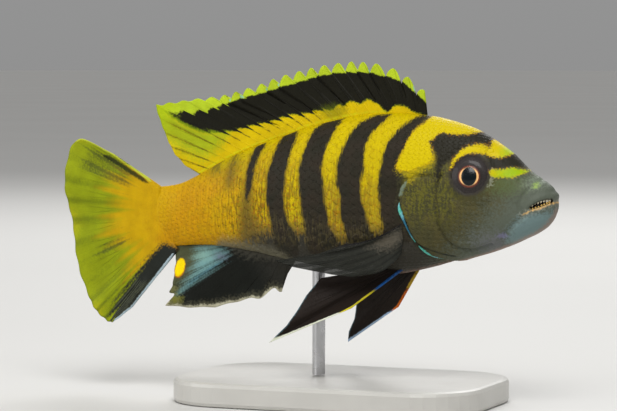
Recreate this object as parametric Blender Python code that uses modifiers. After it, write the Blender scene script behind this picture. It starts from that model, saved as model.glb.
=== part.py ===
"""A life-size display model of an adult male yellow and black mbuna cichlid, Chindongo flavus, on a plain stand.

The fish is drawn in its own coordinates, in millimetres: s runs back from the tip of the snout, y to the
fish's left, and z up from the height of the snout's tip. place() turns them into the model's metres, with
+X towards the head, +Z up, and the origin under the middle of the stand's base.
"""

import math
from collections import namedtuple

import bmesh
import bpy
import numpy as np
from mathutils import Matrix, Vector

MM = 0.001
GAP = 0.3

# Where the solid body ends inside the tail fin, and the points round each of its cross-sections
FLESH_END = 82.0
RING_POINTS = 32

# The stand
BASE_LENGTH, BASE_WIDTH, BASE_THICKNESS = 60.0, 38.0, 4.5
BASE_CORNER, BASE_EDGE = 12.0, 0.8
BASE_MIDDLE_S = 42.0
ROD_RADIUS, ROD_S = 1.2, 46.5
FIN_CLEARANCE = 5.0

# The lowest point of the fish, the tip of its left pelvic fin, sets how high the fish stands
LOWEST_FIN = -29.2
SNOUT_X = BASE_MIDDLE_S
SNOUT_Z = BASE_THICKNESS + FIN_CLEARANCE - LOWEST_FIN

# The body, as landmarks from the lips to the tail: back and belly heights, half width, height of the widest point
Station = namedtuple("Station", "place s back belly half widest")
BODY = (
    Station("lips", 0.0, 0.2, -1.8, 1.3, -0.8),
    Station("lip edge", 0.5, 1.0, -3.35, 2.1, -1.0),
    Station("chin", 1.4, 1.95, -4.8, 3.0, -1.3),
    Station("snout", 3.3, 3.4, -6.35, 4.0, -1.6),
    Station("mouth corner", 6.0, 5.7, -7.7, 4.65, -2.0),
    Station("nostrils", 8.4, 8.0, -8.8, 5.15, -2.0),
    Station("front of eyes", 11.0, 9.85, -9.75, 5.7, -2.0),
    Station("eyes", 15.0, 12.2, -11.0, 6.35, -1.9),
    Station("behind eyes", 19.0, 13.6, -12.0, 6.9, -1.6),
    Station("nape", 24.4, 14.8, -13.4, 7.3, -1.4),
    Station("shoulder", 30.0, 15.2, -14.6, 7.5, -1.1),
    Station("deepest", 37.0, 14.9, -14.75, 7.4, -1.0),
    Station("mid trunk", 46.3, 13.1, -13.6, 6.7, -1.0),
    Station("vent", 52.5, 11.2, -12.6, 5.8, -1.2),
    Station("anal fin", 60.0, 8.5, -11.2, 4.6, -1.9),
    Station("end of anal fin", 66.0, 5.9, -10.45, 3.5, -2.6),
    Station("end of dorsal fin", 70.5, 3.5, -10.3, 2.8, -3.3),
    Station("tail stem", 75.0, 1.5, -10.6, 2.1, -4.4),
    Station("tail base", 79.0, 0.9, -11.2, 1.6, -5.0),
    Station("inside tail fin", 82.0, 0.9, -11.6, 1.3, -5.2),
)
BACK_POWER, BELLY_POWER = 1.9, 2.15
SNOUT_RINGS = (0.0, 0.2, 0.6, 1.2, 2.0, 3.1, 4.4, 6.0, 7.8, 9.8)
RING_STEP = 2.3


def place(s, y, z):
    return Vector(((SNOUT_X - s) * MM, y * MM, (SNOUT_Z + z) * MM))


def smooth_through(xs, values):
    """A curve through the given points, with its slope at each from its two neighbours."""
    xs = np.asarray(xs, float)
    values = np.asarray(values, float)
    steps = np.diff(xs)
    rises = np.diff(values, axis=0)
    slopes = rises / steps.reshape((-1,) + (1,) * (values.ndim - 1))
    before, after = steps[:-1], steps[1:]
    shape = (-1,) + (1,) * (values.ndim - 1)
    middle = (slopes[:-1] * after.reshape(shape) + slopes[1:] * before.reshape(shape)) / (
        (before + after).reshape(shape)
    )
    tangents = np.concatenate([slopes[:1], middle, slopes[-1:]])

    def at(x):
        x = min(max(x, xs[0]), xs[-1])
        i = int(min(max(np.searchsorted(xs, x) - 1, 0), len(xs) - 2))
        u = (x - xs[i]) / steps[i]
        start, end = values[i], values[i + 1]
        go, arrive = tangents[i] * steps[i], tangents[i + 1] * steps[i]
        return (
            (2 * u**3 - 3 * u**2 + 1) * start
            + (u**3 - 2 * u**2 + u) * go
            + (3 * u**2 - 2 * u**3) * end
            + (u**3 - u**2) * arrive
        )

    return at


STATION_S = [station.s for station in BODY]
back_at = smooth_through(STATION_S, [station.back for station in BODY])
belly_at = smooth_through(STATION_S, [station.belly for station in BODY])
half_at = smooth_through(STATION_S, [station.half for station in BODY])
widest_at = smooth_through(STATION_S, [station.widest for station in BODY])


def flank_at(s, z):
    """How far the skin is from the middle plane at this place on the side of the body."""
    middle = widest_at(s)
    if z > middle:
        rise, power = (z - middle) / (back_at(s) - middle), BACK_POWER
    else:
        rise, power = (middle - z) / (middle - belly_at(s)), BELLY_POWER
    return half_at(s) * max(0.0, 1 - rise * rise) ** (1 / power)


def flank_normal(s, z):
    """The way the skin faces on the fish's left side, in fish coordinates."""
    reach = 0.3
    along = (flank_at(s + reach, z) - flank_at(s - reach, z)) / (2 * reach)
    up = (flank_at(s, z + reach) - flank_at(s, z - reach)) / (2 * reach)
    return Vector((-along, 1.0, -up)).normalized()


# Objects, materials and Booleans


def clear_scene():
    for obj in list(bpy.data.objects):
        bpy.data.objects.remove(obj, do_unlink=True)


def new_collection(name, hidden=False):
    collection = bpy.data.collections.new(name)
    collection.hide_render = hidden
    bpy.context.scene.collection.children.link(collection)
    return collection


def new_material(name, colour, roughness, metallic=0.0):
    material = bpy.data.materials.new(name)
    material.use_nodes = True
    shader = material.node_tree.nodes["Principled BSDF"]
    shader.inputs["Base Color"].default_value = (*colour, 1.0)
    shader.inputs["Roughness"].default_value = roughness
    shader.inputs["Metallic"].default_value = metallic
    return material


def mesh_object(name, bm, collection):
    """A closed shape from a bmesh, with its faces turned outwards."""
    bmesh.ops.recalc_face_normals(bm, faces=bm.faces)
    mesh = bpy.data.meshes.new(name)
    bm.to_mesh(mesh)
    bm.free()
    obj = bpy.data.objects.new(name, mesh)
    collection.objects.link(obj)
    return obj


def mesh_of(obj):
    """The object as its modifiers leave it, as a plain mesh."""
    bpy.context.view_layer.update()
    graph = bpy.context.evaluated_depsgraph_get()
    return bpy.data.meshes.new_from_object(obj.evaluated_get(graph))


def is_closed(mesh):
    bm = bmesh.new()
    bm.from_mesh(mesh)
    closed = len(bm.faces) > 0 and all(len(edge.link_faces) == 2 for edge in bm.edges)
    bm.free()
    return closed


def apply_boolean(obj, change):
    """Applies the exact solver's result, or the manifold solver's where that one isn't closed."""
    for solver in ("EXACT", "MANIFOLD"):
        change.solver = solver
        result = mesh_of(obj)
        if is_closed(result):
            break
    obj.modifiers.clear()
    obj.data = result


def join_with(obj, pieces):
    """Joins the pieces to the object with one union, then removes them."""
    group = bpy.data.collections.new(obj.name + "_pieces")
    bpy.context.scene.collection.children.link(group)
    for piece in pieces:
        group.objects.link(piece)
    union = obj.modifiers.new("join", "BOOLEAN")
    union.operation = "UNION"
    union.operand_type = "COLLECTION"
    union.collection = group
    apply_boolean(obj, union)
    remove(pieces)
    bpy.data.collections.remove(group)


def boolean(obj, other, operation):
    change = obj.modifiers.new(operation, "BOOLEAN")
    change.operation = operation
    change.object = other
    apply_boolean(obj, change)


def cut_away(obj, cutters):
    for cutter in cutters:
        boolean(obj, cutter, "DIFFERENCE")


def surfaces_of(bm):
    """The separate closed surfaces of a bmesh, as sets of faces."""
    left = set(bm.faces)
    found = []
    while left:
        front = [left.pop()]
        surface = set(front)
        while front:
            face = front.pop()
            for edge in face.edges:
                for other in edge.link_faces:
                    if other in left:
                        left.remove(other)
                        surface.add(other)
                        front.append(other)
        found.append(surface)
    return found


def volume_of(surface):
    total = 0.0
    for face in surface:
        first = face.verts[0].co
        for one, two in zip(face.verts[1:-1], face.verts[2:]):
            total += first.dot(one.co.cross(two.co))
    return abs(total) / 6


def keep_surface(obj, wanted):
    """Keeps one closed surface: the largest of those whose middle passes the test."""
    bm = bmesh.new()
    bm.from_mesh(obj.data)
    surfaces = surfaces_of(bm)

    def size(surface):
        corners = {vert for face in surface for vert in face.verts}
        middle = sum((vert.co for vert in corners), Vector()) / len(corners)
        return volume_of(surface) if wanted(middle) else -1.0

    kept = max(surfaces, key=size)
    bmesh.ops.delete(bm, geom=[face for face in bm.faces if face not in kept], context="FACES")
    bm.to_mesh(obj.data)
    bm.free()


def keep_largest(obj):
    keep_surface(obj, lambda middle: True)


def remove(helpers):
    for helper in helpers:
        bpy.data.objects.remove(helper)


def as_node(obj, name, material, parts):
    """Names the object as a sub-part, gives it its finish and moves it into the model's collection."""
    obj.name = name
    obj.data.name = name
    obj.data.materials.clear()
    obj.data.materials.append(material)
    for collection in list(obj.users_collection):
        collection.objects.unlink(obj)
    parts.objects.link(obj)
    return obj


def copy_of(obj, name, collection):
    twin = bpy.data.objects.new(name, obj.data.copy())
    twin.matrix_world = obj.matrix_world
    collection.objects.link(twin)
    return twin


# Shapes


def ring_at(s, grow):
    """One cross-section of the body, as points from the left side over the back and round the belly."""
    middle = widest_at(s)
    half = half_at(s) + grow
    points = []
    for i in range(RING_POINTS):
        angle = 2 * math.pi * i / RING_POINTS
        across, rise = math.cos(angle), math.sin(angle)
        power = BACK_POWER if rise > 0 else BELLY_POWER
        height = back_at(s) + grow - middle if rise > 0 else middle - belly_at(s) + grow
        y = half * math.copysign(abs(across) ** (2 / power), across)
        points.append((s, y, middle + height * rise))
    return points


def body_form(name, grow, collection):
    """The whole body from lips to tail, as a loft through its cross-sections, grown or shrunk by the same amount."""
    rings = list(SNOUT_RINGS)
    while rings[-1] < FLESH_END - RING_STEP:
        rings.append(rings[-1] + RING_STEP)
    rings.append(FLESH_END)
    bm = bmesh.new()
    loops = []
    for s in rings:
        shift = -grow if s == rings[0] else 0.0
        loops.append([bm.verts.new(place(p[0] + shift, p[1], p[2])) for p in ring_at(s, grow)])
    for one, two in zip(loops, loops[1:]):
        for i in range(RING_POINTS):
            j = (i + 1) % RING_POINTS
            bm.faces.new((one[i], one[j], two[j], two[i]))
    for loop in (loops[0], loops[-1]):
        hub = bm.verts.new(sum((vert.co for vert in loop), Vector()) / RING_POINTS)
        for i in range(RING_POINTS):
            bm.faces.new((loop[i], loop[(i + 1) % RING_POINTS], hub))
    bmesh.ops.triangulate(bm, faces=bm.faces)
    return mesh_object(name, bm, collection)


def prism(name, outline, near, far, collection):
    """A flat outline in s and z, given its thickness from y = near to y = far."""
    curve = bpy.data.curves.new(name, "CURVE")
    curve.dimensions = "2D"
    curve.fill_mode = "BOTH"
    curve.extrude = abs(far - near) / 2 * MM
    spline = curve.splines.new("POLY")
    spline.points.add(len(outline) - 1)
    for point, (s, z) in zip(spline.points, outline):
        spot = place(s, 0, z)
        point.co = (spot.x, spot.z, 0, 1)
    spline.use_cyclic_u = True
    drawn = bpy.data.objects.new(name, curve)
    drawn.matrix_world = Matrix.Translation((0, (near + far) / 2 * MM, 0)) @ Matrix.Rotation(math.pi / 2, 4, "X")
    collection.objects.link(drawn)
    return solid_from_curve(drawn, collection)


def solid_from_curve(drawn, collection):
    """A curve object made a closed mesh object with its place in its mesh."""
    mesh = mesh_of(drawn)
    mesh.transform(drawn.matrix_world)
    bm = bmesh.new()
    bm.from_mesh(mesh)
    bmesh.ops.remove_doubles(bm, verts=bm.verts, dist=0.001 * MM)
    bmesh.ops.triangulate(bm, faces=bm.faces)
    name = drawn.name
    bpy.data.objects.remove(drawn)
    return mesh_object(name, bm, collection)


def blade(name, line, width, collection):
    """A thin cutter that follows a line drawn on the side of the fish, right through it."""
    left, right = [], []
    for i, (s, z) in enumerate(line):
        before = Vector(line[max(i - 1, 0)])
        after = Vector(line[min(i + 1, len(line) - 1)])
        along = (after - before).normalized()
        aside = Vector((-along.y, along.x)) * width / 2
        left.append((s + aside.x, z + aside.y))
        right.append((s - aside.x, z - aside.y))
    return prism(name, left + right[::-1], -BLADE_REACH, BLADE_REACH, collection)


def tube(name, path, radii, collection):
    """A round bar along a path in fish coordinates, with its own radius at each point."""
    curve = bpy.data.curves.new(name, "CURVE")
    curve.dimensions = "3D"
    curve.bevel_depth = MM
    curve.bevel_resolution = 1
    curve.use_fill_caps = True
    spline = curve.splines.new("POLY")
    spline.points.add(len(path) - 1)
    for point, spot, radius in zip(spline.points, path, radii):
        point.co = (*place(*spot), 1)
        point.radius = radius
    drawn = bpy.data.objects.new(name, curve)
    collection.objects.link(drawn)
    return solid_from_curve(drawn, collection)


def turned_to(normal):
    """The rotation that turns +Z to a direction in fish coordinates."""
    return Vector((-normal.x, normal.y, normal.z)).to_track_quat("Z", "Y").to_matrix().to_4x4()


# The head

EYE_S, EYE_Z = 15.0, 4.15
EYE_RADIUS, EYE_DEPTH = 3.7, 2.4
EYE_STANDS_OUT = 0.75
EYE_RIM, EYE_RIM_SUNK = 0.4, 0.1
NOSTRIL_S, NOSTRIL_Z, NOSTRIL_RADIUS = 6.3, 3.3, 0.5

UPPER_LIP_EDGE = ((-1.6, -0.55), (0.0, -0.7), (0.9, -0.8), (1.8, -1.05), (3.4, -1.7), (5.6, -2.6))
LOWER_LIP_EDGE = ((-1.6, -1.15), (0.0, -1.25), (0.9, -1.5), (1.8, -1.8), (3.4, -2.15), (5.6, -2.9))
LIP_PATH_S = (5.1, 4.1, 3.1, 2.2, 1.5, 1.1)
LOWER_LIP_BEHIND = 0.3
LIP_RADIUS_FRONT, LIP_RADIUS_CORNER = 0.7, 0.5
LIP_SUNK = 0.35
TEETH, TEETH_FROM_CORNER = 14, 0.8
TOOTH_RADIUS, TOOTH_TIP_RADIUS, TOOTH_SUNK, TOOTH_INSET = 0.27, 0.1, 0.35, 0.75
UPPER_TOOTH_SHARE, LOWER_TOOTH_SHARE = 0.65, 0.35

UPPER_JAW_SEAM = ((5.5, -2.6), (4.7, -1.3), (3.5, 0.6), (2.2, 2.6), (1.2, 4.4))
LOWER_JAW_SEAM = ((5.4, -2.7), (6.2, -3.9), (8.0, -6.7), (10.2, -9.5), (12.0, -12.0))
NECK_SEAM = (
    (22.0, 18.0), (23.4, 12.0), (25.0, 7.0), (26.2, 3.0), (26.6, -1.0), (25.9, -5.0), (24.0, -8.4),
    (21.4, -10.8), (19.0, -12.6), (16.5, -16.0),
)
TAIL_SEAM = ((71.4, 9.0), (71.2, -4.0), (71.0, -16.0))
TAIL_ROOT = ((79.8, 5.0), (79.8, 0.9), (80.0, -2.5), (79.5, -6.0), (78.2, -9.0), (76.6, -11.0), (75.4, -13.0))

GILL_COVER = (
    (22.0, 3.3), (24.6, 3.5), (26.5, 2.9), (27.7, 1.5), (28.0, -0.2), (27.5, -2.2), (26.9, -4.6), (25.9, -6.9),
    (24.2, -9.0), (21.6, -10.6), (19.0, -11.2), (17.2, -10.3), (19.4, -8.0), (20.7, -5.0), (21.2, -1.6), (21.3, 1.2),
)
GILL_COVER_RAISED, GILL_COVER_SUNK = 0.3, 0.9
COVER_INNER, POCKET_INNER, COVER_OUTER = 1.0, 0.6, 12.0
GAPE_REACH, BLADE_REACH = 8.0, 14.0


def eye_matrix(side):
    normal = flank_normal(EYE_S, EYE_Z)
    normal.y *= side
    skin = Vector((EYE_S, flank_at(EYE_S, EYE_Z) * side, EYE_Z))
    middle = skin + normal * (EYE_STANDS_OUT - EYE_DEPTH)
    return Matrix.Translation(place(*middle)) @ turned_to(normal)


def eyeball(name, side, grow, collection):
    bm = bmesh.new()
    bmesh.ops.create_uvsphere(bm, u_segments=20, v_segments=12, radius=1.0)
    size = Matrix.Diagonal(((EYE_RADIUS + grow) * MM, (EYE_RADIUS + grow) * MM, (EYE_DEPTH + grow) * MM, 1))
    bmesh.ops.transform(bm, matrix=eye_matrix(side) @ size, verts=bm.verts)
    bmesh.ops.triangulate(bm, faces=bm.faces)
    return mesh_object(name, bm, collection)


def eye_rim(name, side, collection):
    """The raised skin round the eye, a ring sunk half way into the head."""
    ring, section = 24, 6
    bm = bmesh.new()
    loops = []
    for i in range(ring):
        around = 2 * math.pi * i / ring
        s = EYE_S + (EYE_RADIUS + EYE_RIM * 0.5) * math.cos(around)
        z = EYE_Z + (EYE_RADIUS + EYE_RIM * 0.5) * math.sin(around)
        normal = flank_normal(s, z)
        outward = Vector((math.cos(around), 0, math.sin(around)))
        skin = Vector((s, flank_at(s, z), z)) - normal * EYE_RIM_SUNK
        loop = []
        for j in range(section):
            turn = 2 * math.pi * j / section
            spot = skin + (outward * math.cos(turn) + normal * math.sin(turn)) * EYE_RIM
            loop.append(bm.verts.new(place(spot.x, spot.y * side, spot.z)))
        loops.append(loop)
    for i in range(ring):
        one, two = loops[i], loops[(i + 1) % ring]
        for j in range(section):
            k = (j + 1) % section
            bm.faces.new((one[j], one[k], two[k], two[j]))
    bmesh.ops.triangulate(bm, faces=bm.faces)
    return mesh_object(name, bm, collection)


def ball(name, spot, radius, collection):
    bm = bmesh.new()
    bmesh.ops.create_icosphere(bm, subdivisions=1, radius=radius * MM)
    bmesh.ops.translate(bm, verts=bm.verts, vec=place(*spot))
    return mesh_object(name, bm, collection)


def lip_path(edge, lift, inset, behind):
    """Points round the snout along one lip, from the left corner of the mouth to the right."""
    height = smooth_through([s for s, _ in edge], [z for _, z in edge])
    side = []
    for s in LIP_PATH_S:
        z = height(s) + lift
        side.append((s + behind, flank_at(s, z) - inset, z))
    front = LIP_PATH_S[-1]
    tip = (front - 0.15 + behind, 0.0, height(front) + lift)
    return side + [tip] + [(s, -y, z) for s, y, z in reversed(side)]


def lip(name, edge, lift, behind, collection):
    path = lip_path(edge, lift, LIP_SUNK, behind)
    depth = LIP_PATH_S[0]
    radii = [LIP_RADIUS_FRONT + (LIP_RADIUS_CORNER - LIP_RADIUS_FRONT) * s / depth for s, _, _ in path]
    return tube(name, path, radii, collection)


def teeth(edge, share, collection):
    """A row of small teeth just inside a lip. They reach up from the lower edge, down from the upper."""
    up = edge is LOWER_LIP_EDGE
    way = 1.0 if up else -1.0
    path = lip_path(edge, -TOOTH_SUNK * way, TOOTH_INSET, 0.0)
    along = smooth_through(range(len(path)), path)
    upper = smooth_through([s for s, _ in UPPER_LIP_EDGE], [z for _, z in UPPER_LIP_EDGE])
    lower = smooth_through([s for s, _ in LOWER_LIP_EDGE], [z for _, z in LOWER_LIP_EDGE])
    made = []
    last = len(path) - 1 - TEETH_FROM_CORNER
    for i in range(TEETH):
        s, y, z = along(TEETH_FROM_CORNER + (last - TEETH_FROM_CORNER) * i / (TEETH - 1))
        length = TOOTH_SUNK + (upper(s) - lower(s) - GAP) * share
        bm = bmesh.new()
        bmesh.ops.create_cone(
            bm, cap_ends=True, segments=5, radius1=TOOTH_RADIUS * MM, radius2=TOOTH_TIP_RADIUS * MM,
            depth=length * MM,
        )
        turn = Matrix.Identity(4) if up else Matrix.Rotation(math.pi, 4, "X")
        spot = place(s, y, z + way * length / 2)
        bmesh.ops.transform(bm, matrix=Matrix.Translation(spot) @ turn, verts=bm.verts)
        made.append(mesh_object("tooth_%d" % i, bm, collection))
    return made


def gill_cover_outline(grow):
    """The gill cover's edge, moved outwards by grow. It runs clockwise, so outwards is to its left."""
    outline = []
    for i, (s, z) in enumerate(GILL_COVER):
        before = Vector(GILL_COVER[i - 1])
        after = Vector(GILL_COVER[(i + 1) % len(GILL_COVER)])
        along = (after - before).normalized()
        outward = Vector((-along.y, along.x))
        outline.append((s + outward.x * grow, z + outward.y * grow))
    return outline


def gill_cover(name, side, cutters):
    """The curved plate over the gills, a little proud of the head with its hind edge free."""
    cover = body_form(name, GILL_COVER_RAISED, cutters)
    inside = body_form("inside_cover", -GILL_COVER_SUNK, cutters)
    outline = prism("cover_outline", gill_cover_outline(0.0), COVER_INNER * side, COVER_OUTER * side, cutters)
    boolean(cover, outline, "INTERSECT")
    boolean(cover, inside, "DIFFERENCE")
    remove((inside, outline))
    keep_largest(cover)
    return cover


def gill_pocket(name, side, cutters):
    """What the gill cover takes out of the head and trunk, with its clearance."""
    pocket = prism(name, gill_cover_outline(GAP), POCKET_INNER * side, COVER_OUTER * side, cutters)
    inside = body_form("inside_pocket", -GILL_COVER_SUNK - GAP, cutters)
    boolean(pocket, inside, "DIFFERENCE")
    remove([inside])
    return pocket


def make_flesh(cutters):
    """Head, jaws, trunk and tail stem in one piece, with lips and eye rims, then parted by thin cuts."""
    flesh = body_form("flesh", 0.0, cutters)
    pieces = [
        lip("upper_lip", UPPER_LIP_EDGE, 0.5, 0.0, cutters),
        lip("lower_lip", LOWER_LIP_EDGE, -0.45, LOWER_LIP_BEHIND, cutters),
        eye_rim("rim_left", 1, cutters),
        eye_rim("rim_right", -1, cutters),
    ]
    join_with(flesh, pieces)
    cuts = [
        prism("gape", UPPER_LIP_EDGE + LOWER_LIP_EDGE[::-1], -GAPE_REACH, GAPE_REACH, cutters),
        blade("upper_jaw_cut", UPPER_JAW_SEAM, GAP, cutters),
        blade("lower_jaw_cut", LOWER_JAW_SEAM, GAP, cutters),
        blade("neck_cut", NECK_SEAM, GAP, cutters),
        blade("tail_cut", TAIL_SEAM, GAP, cutters),
        blade("tail_root_cut", TAIL_ROOT, GAP, cutters),
    ]
    for side in (1, -1):
        cuts.append(eyeball("socket", side, GAP, cutters))
        cuts.append(gill_pocket("pocket", side, cutters))
        nostril = (NOSTRIL_S, flank_at(NOSTRIL_S, NOSTRIL_Z) * side, NOSTRIL_Z)
        cuts.append(ball("nostril", nostril, NOSTRIL_RADIUS, cutters))
    cut_away(flesh, cuts)
    remove(cuts)
    return flesh


# Which piece of the parted flesh holds which middle, as a range of s and a side of the mouth line
FLESH_NODES = {
    "jaw_upper": lambda s, z: s < 5 and z > -1.6,
    "jaw_lower": lambda s, z: s < 9 and z < -2.6,
    "head": lambda s, z: 9 < s < 24 and z > -6,
    "trunk": lambda s, z: 30 < s < 66,
    "tail_stem": lambda s, z: 72 < s < 79,
}


def part_flesh(flesh, materials, cutters, parts):
    nodes = {}
    for name, holds in FLESH_NODES.items():
        node = copy_of(flesh, name, cutters)

        def wanted(middle, holds=holds):
            return holds(SNOUT_X - middle.x / MM, middle.z / MM - SNOUT_Z)

        keep_surface(node, wanted)
        nodes[name] = node
    remove([flesh])
    for name, edge, share in (
        ("jaw_upper", UPPER_LIP_EDGE, UPPER_TOOTH_SHARE), ("jaw_lower", LOWER_LIP_EDGE, LOWER_TOOTH_SHARE)
    ):
        join_with(nodes[name], teeth(edge, share, cutters))
        keep_largest(nodes[name])
    for name, node in nodes.items():
        as_node(node, name, materials[name], parts)


# The fins

Fin = namedtuple("Fin", "roots tips between dip bow ridge")
ROWS = (0.0, 0.12, 0.3, 0.52, 0.76, 1.0)
WEB, RAY, TAIL_RAY, RAY_TIP, EDGE = 0.25, 0.45, 0.7, 0.28, 0.2


def fin_sheet(name, fin, collection):
    """A membrane between rays: one thin closed sheet, thicker along each ray, cut alike on both faces.

    Its thickness is measured the one way that the whole fin faces, so its faces never cross where it curves.

    Each ray is a column of the sheet, with more columns at the shares "between" it and the next. The edge
    falls back by dip(ray, share), and bow bends the rays' middles.
    """
    count = len(fin.roots)
    root = smooth_through(range(count), fin.roots)
    tips = [Vector(tip) for tip in fin.tips]
    shares = (0.0,) + fin.between
    columns = [(i, share) for i in range(count - 1) for share in shares] + [(count - 1, 0.0)]
    last_column, last_row = len(columns) - 1, len(ROWS) - 1

    def middle(column, row):
        i, share = column
        start, end = Vector(root(i + share)), tips[i].copy()
        if share:
            end = end.lerp(tips[i + 1], share)
            end += (start - end).normalized() * fin.dip(i, share)
        return start.lerp(end, row) + Vector(fin.bow) * 4 * row * (1 - row)

    def half_thickness(column, row):
        if row == 1.0:
            return EDGE
        if column[1]:
            return WEB
        return fin.ridge + (RAY_TIP - fin.ridge) * row

    grid = np.array([[middle(column, row) for row in ROWS] for column in columns])
    facing = np.cross(np.gradient(grid, axis=0), np.gradient(grid, axis=1)).mean(axis=(0, 1))
    facing /= np.linalg.norm(facing)
    bm = bmesh.new()
    sides = []
    for way in (1, -1):
        side = {}
        for c, column in enumerate(columns):
            for r, row in enumerate(ROWS):
                side[c, r] = bm.verts.new(place(*(grid[c, r] + facing * way * half_thickness(column, row))))
        sides.append(side)
        for c in range(last_column):
            for r in range(last_row):
                bm.faces.new((side[c, r], side[c + 1, r], side[c + 1, r + 1]))
                bm.faces.new((side[c, r], side[c + 1, r + 1], side[c, r + 1]))
    rim = [(c, 0) for c in range(last_column)] + [(last_column, r) for r in range(last_row)]
    rim += [(c, last_row) for c in range(last_column, 0, -1)] + [(0, r) for r in range(last_row, 0, -1)]
    near, far = sides
    for one, two in zip(rim, rim[1:] + rim[:1]):
        bm.faces.new((near[one], near[two], far[two]))
        bm.faces.new((near[one], far[two], far[one]))
    return mesh_object(name, bm, collection)


def spread_between(count, line):
    """This many points evenly along a smooth line through the given ones."""
    at = smooth_through(range(len(line)), line)
    return [at((len(line) - 1) * i / (count - 1)) for i in range(count)]


# Dorsal fin: seventeen spines with lappets, then nine soft rays that sweep back to a point
DORSAL_SPINES, DORSAL_SOFT = 17, 9
DORSAL_FRONT, DORSAL_END = 25.2, 70.4
SPINE_TIPS = (
    (25.6, 19.3), (28.7, 21.7), (31.7, 23.3), (35.0, 24.2), (37.6, 24.5), (40.1, 24.6), (42.7, 24.3),
    (45.4, 23.9), (48.1, 23.4), (50.6, 22.8), (53.2, 22.1), (55.8, 21.3), (58.3, 20.4), (60.9, 19.6),
    (63.3, 18.9), (65.8, 18.3), (68.4, 17.9),
)
SOFT_TIPS = (
    (71.2, 17.6), (74.4, 17.2), (77.4, 16.8), (79.9, 16.4), (79.2, 13.8), (78.2, 11.0), (76.8, 8.4), (75.0, 6.1),
    (72.8, 4.2),
)
LAPPET_PROFILE = {0.2: 0.2, 0.5: 1.6, 0.8: 0.88}
SOFT_NOTCH, SMALL_NOTCH, ANAL_NOTCH = 0.25, 0.15, 0.35
HALF_WAY_COLUMNS = (0.25, 0.75)


def dorsal_dip(ray, share):
    """How far the edge drops behind a spine to the foot of the next lappet; soft rays have a small notch."""
    return LAPPET_PROFILE[share] if ray < DORSAL_SPINES - 1 else SOFT_NOTCH


def small_notch(ray, share):
    return SMALL_NOTCH


def anal_notch(ray, share):
    return ANAL_NOTCH


def dorsal_fin(collection):
    count = DORSAL_SPINES + DORSAL_SOFT
    roots = []
    for i in range(count):
        s = DORSAL_FRONT + (DORSAL_END - DORSAL_FRONT) * i / (count - 1)
        roots.append((s, 0.0, back_at(s) + GAP))
    tips = [(s, 0.0, z) for s, z in SPINE_TIPS + SOFT_TIPS]
    shape = Fin(roots, tips, tuple(LAPPET_PROFILE), dorsal_dip, (0, 0, 0), RAY)
    return fin_sheet("fin_dorsal", shape, collection)


# Anal fin: three spines and eight soft rays
ANAL_FRONT, ANAL_END = 53.4, 66.2
ANAL_TIPS = (
    (54.1, -18.7), (58.4, -19.9), (63.2, -20.9), (67.8, -21.9), (73.0, -22.3), (78.1, -22.0), (77.4, -19.4),
    (76.8, -17.4), (76.2, -15.0), (76.0, -12.8), (75.6, -11.5),
)


def anal_fin(collection):
    roots = []
    for i in range(len(ANAL_TIPS)):
        s = ANAL_FRONT + (ANAL_END - ANAL_FRONT) * i / (len(ANAL_TIPS) - 1)
        roots.append((s, 0.0, belly_at(s) - GAP))
    tips = [(s, 0.0, z) for s, z in ANAL_TIPS]
    shape = Fin(roots, tips, HALF_WAY_COLUMNS, anal_notch, (0, 0, 0), RAY)
    return fin_sheet("fin_anal", shape, collection)


# Tail fin: sixteen rays from the slanting end of the tail stem
TAIL_RAYS = 16
TAIL_EDGE = (
    (89.0, 6.9), (96.3, 9.8), (98.8, 7.0), (99.6, 1.6), (99.0, -2.5), (98.0, -7.2), (97.2, -12.0), (96.2, -17.0),
    (94.4, -21.4), (91.6, -24.4), (89.9, -25.7), (85.6, -23.2),
)


def tail_fin(collection):
    root_line = [(s + GAP, z) for s, z in TAIL_ROOT[1:-1]]
    roots = [(s, 0.0, z) for s, z in spread_between(TAIL_RAYS, root_line)]
    tips = [(s, 0.0, z) for s, z in spread_between(TAIL_RAYS, TAIL_EDGE)]
    shape = Fin(roots, tips, HALF_WAY_COLUMNS, small_notch, (0, 0, 0), TAIL_RAY)
    return fin_sheet("fin_tail", shape, collection)


# Paired fins, drawn for the right side, the one that the camera sees
PECTORAL_ROOT = ((29.2, -6.6), (29.1, -8.8), (29.8, -11.0))
PECTORAL_TIPS = (
    (37.9, -8.6, -8.7), (43.0, -9.2, -10.6), (47.8, -9.6, -11.5), (51.2, -10.0, -12.0), (47.8, -10.1, -13.0),
    (44.0, -10.0, -13.7), (40.2, -9.7, -14.3), (36.3, -9.1, -14.6), (32.6, -8.1, -14.1),
)
PECTORAL_BOW_OUT, PECTORAL_BOW_DOWN = 0.6, 0.9
PELVIC_ROOT = ((27.9, -2.0, -13.6), (29.6, -2.6, -13.7), (31.6, -3.1, -13.8))
PELVIC_ROOT_SHIFT = 0.8
PELVIC_RIGHT_TIPS = (
    (37.0, -8.5, -20.6), (51.8, -11.5, -27.1), (48.6, -10.6, -23.9), (47.1, -9.6, -21.4), (45.7, -8.2, -18.4),
    (43.8, -5.8, -15.4),
)
PELVIC_LEFT_TIPS = (
    (33.7, 8.0, -21.6), (45.7, 13.0, -29.1), (45.0, 12.0, -26.9), (43.5, 10.8, -24.4), (42.6, 9.3, -21.6),
    (40.6, 7.2, -18.0),
)
PELVIC_SUNK = 1.2


def pectoral_fin(side, collection):
    root_line = [(s, (flank_at(s, z) + GAP + RAY) * side, z) for s, z in PECTORAL_ROOT]
    tips = [(s, -y * side, z) for s, y, z in PECTORAL_TIPS]
    roots = spread_between(len(tips), root_line)
    bow = (0, PECTORAL_BOW_OUT * side, -PECTORAL_BOW_DOWN)
    shape = Fin(roots, tips, HALF_WAY_COLUMNS, small_notch, bow, RAY)
    return fin_sheet("pectoral", shape, collection)


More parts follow.
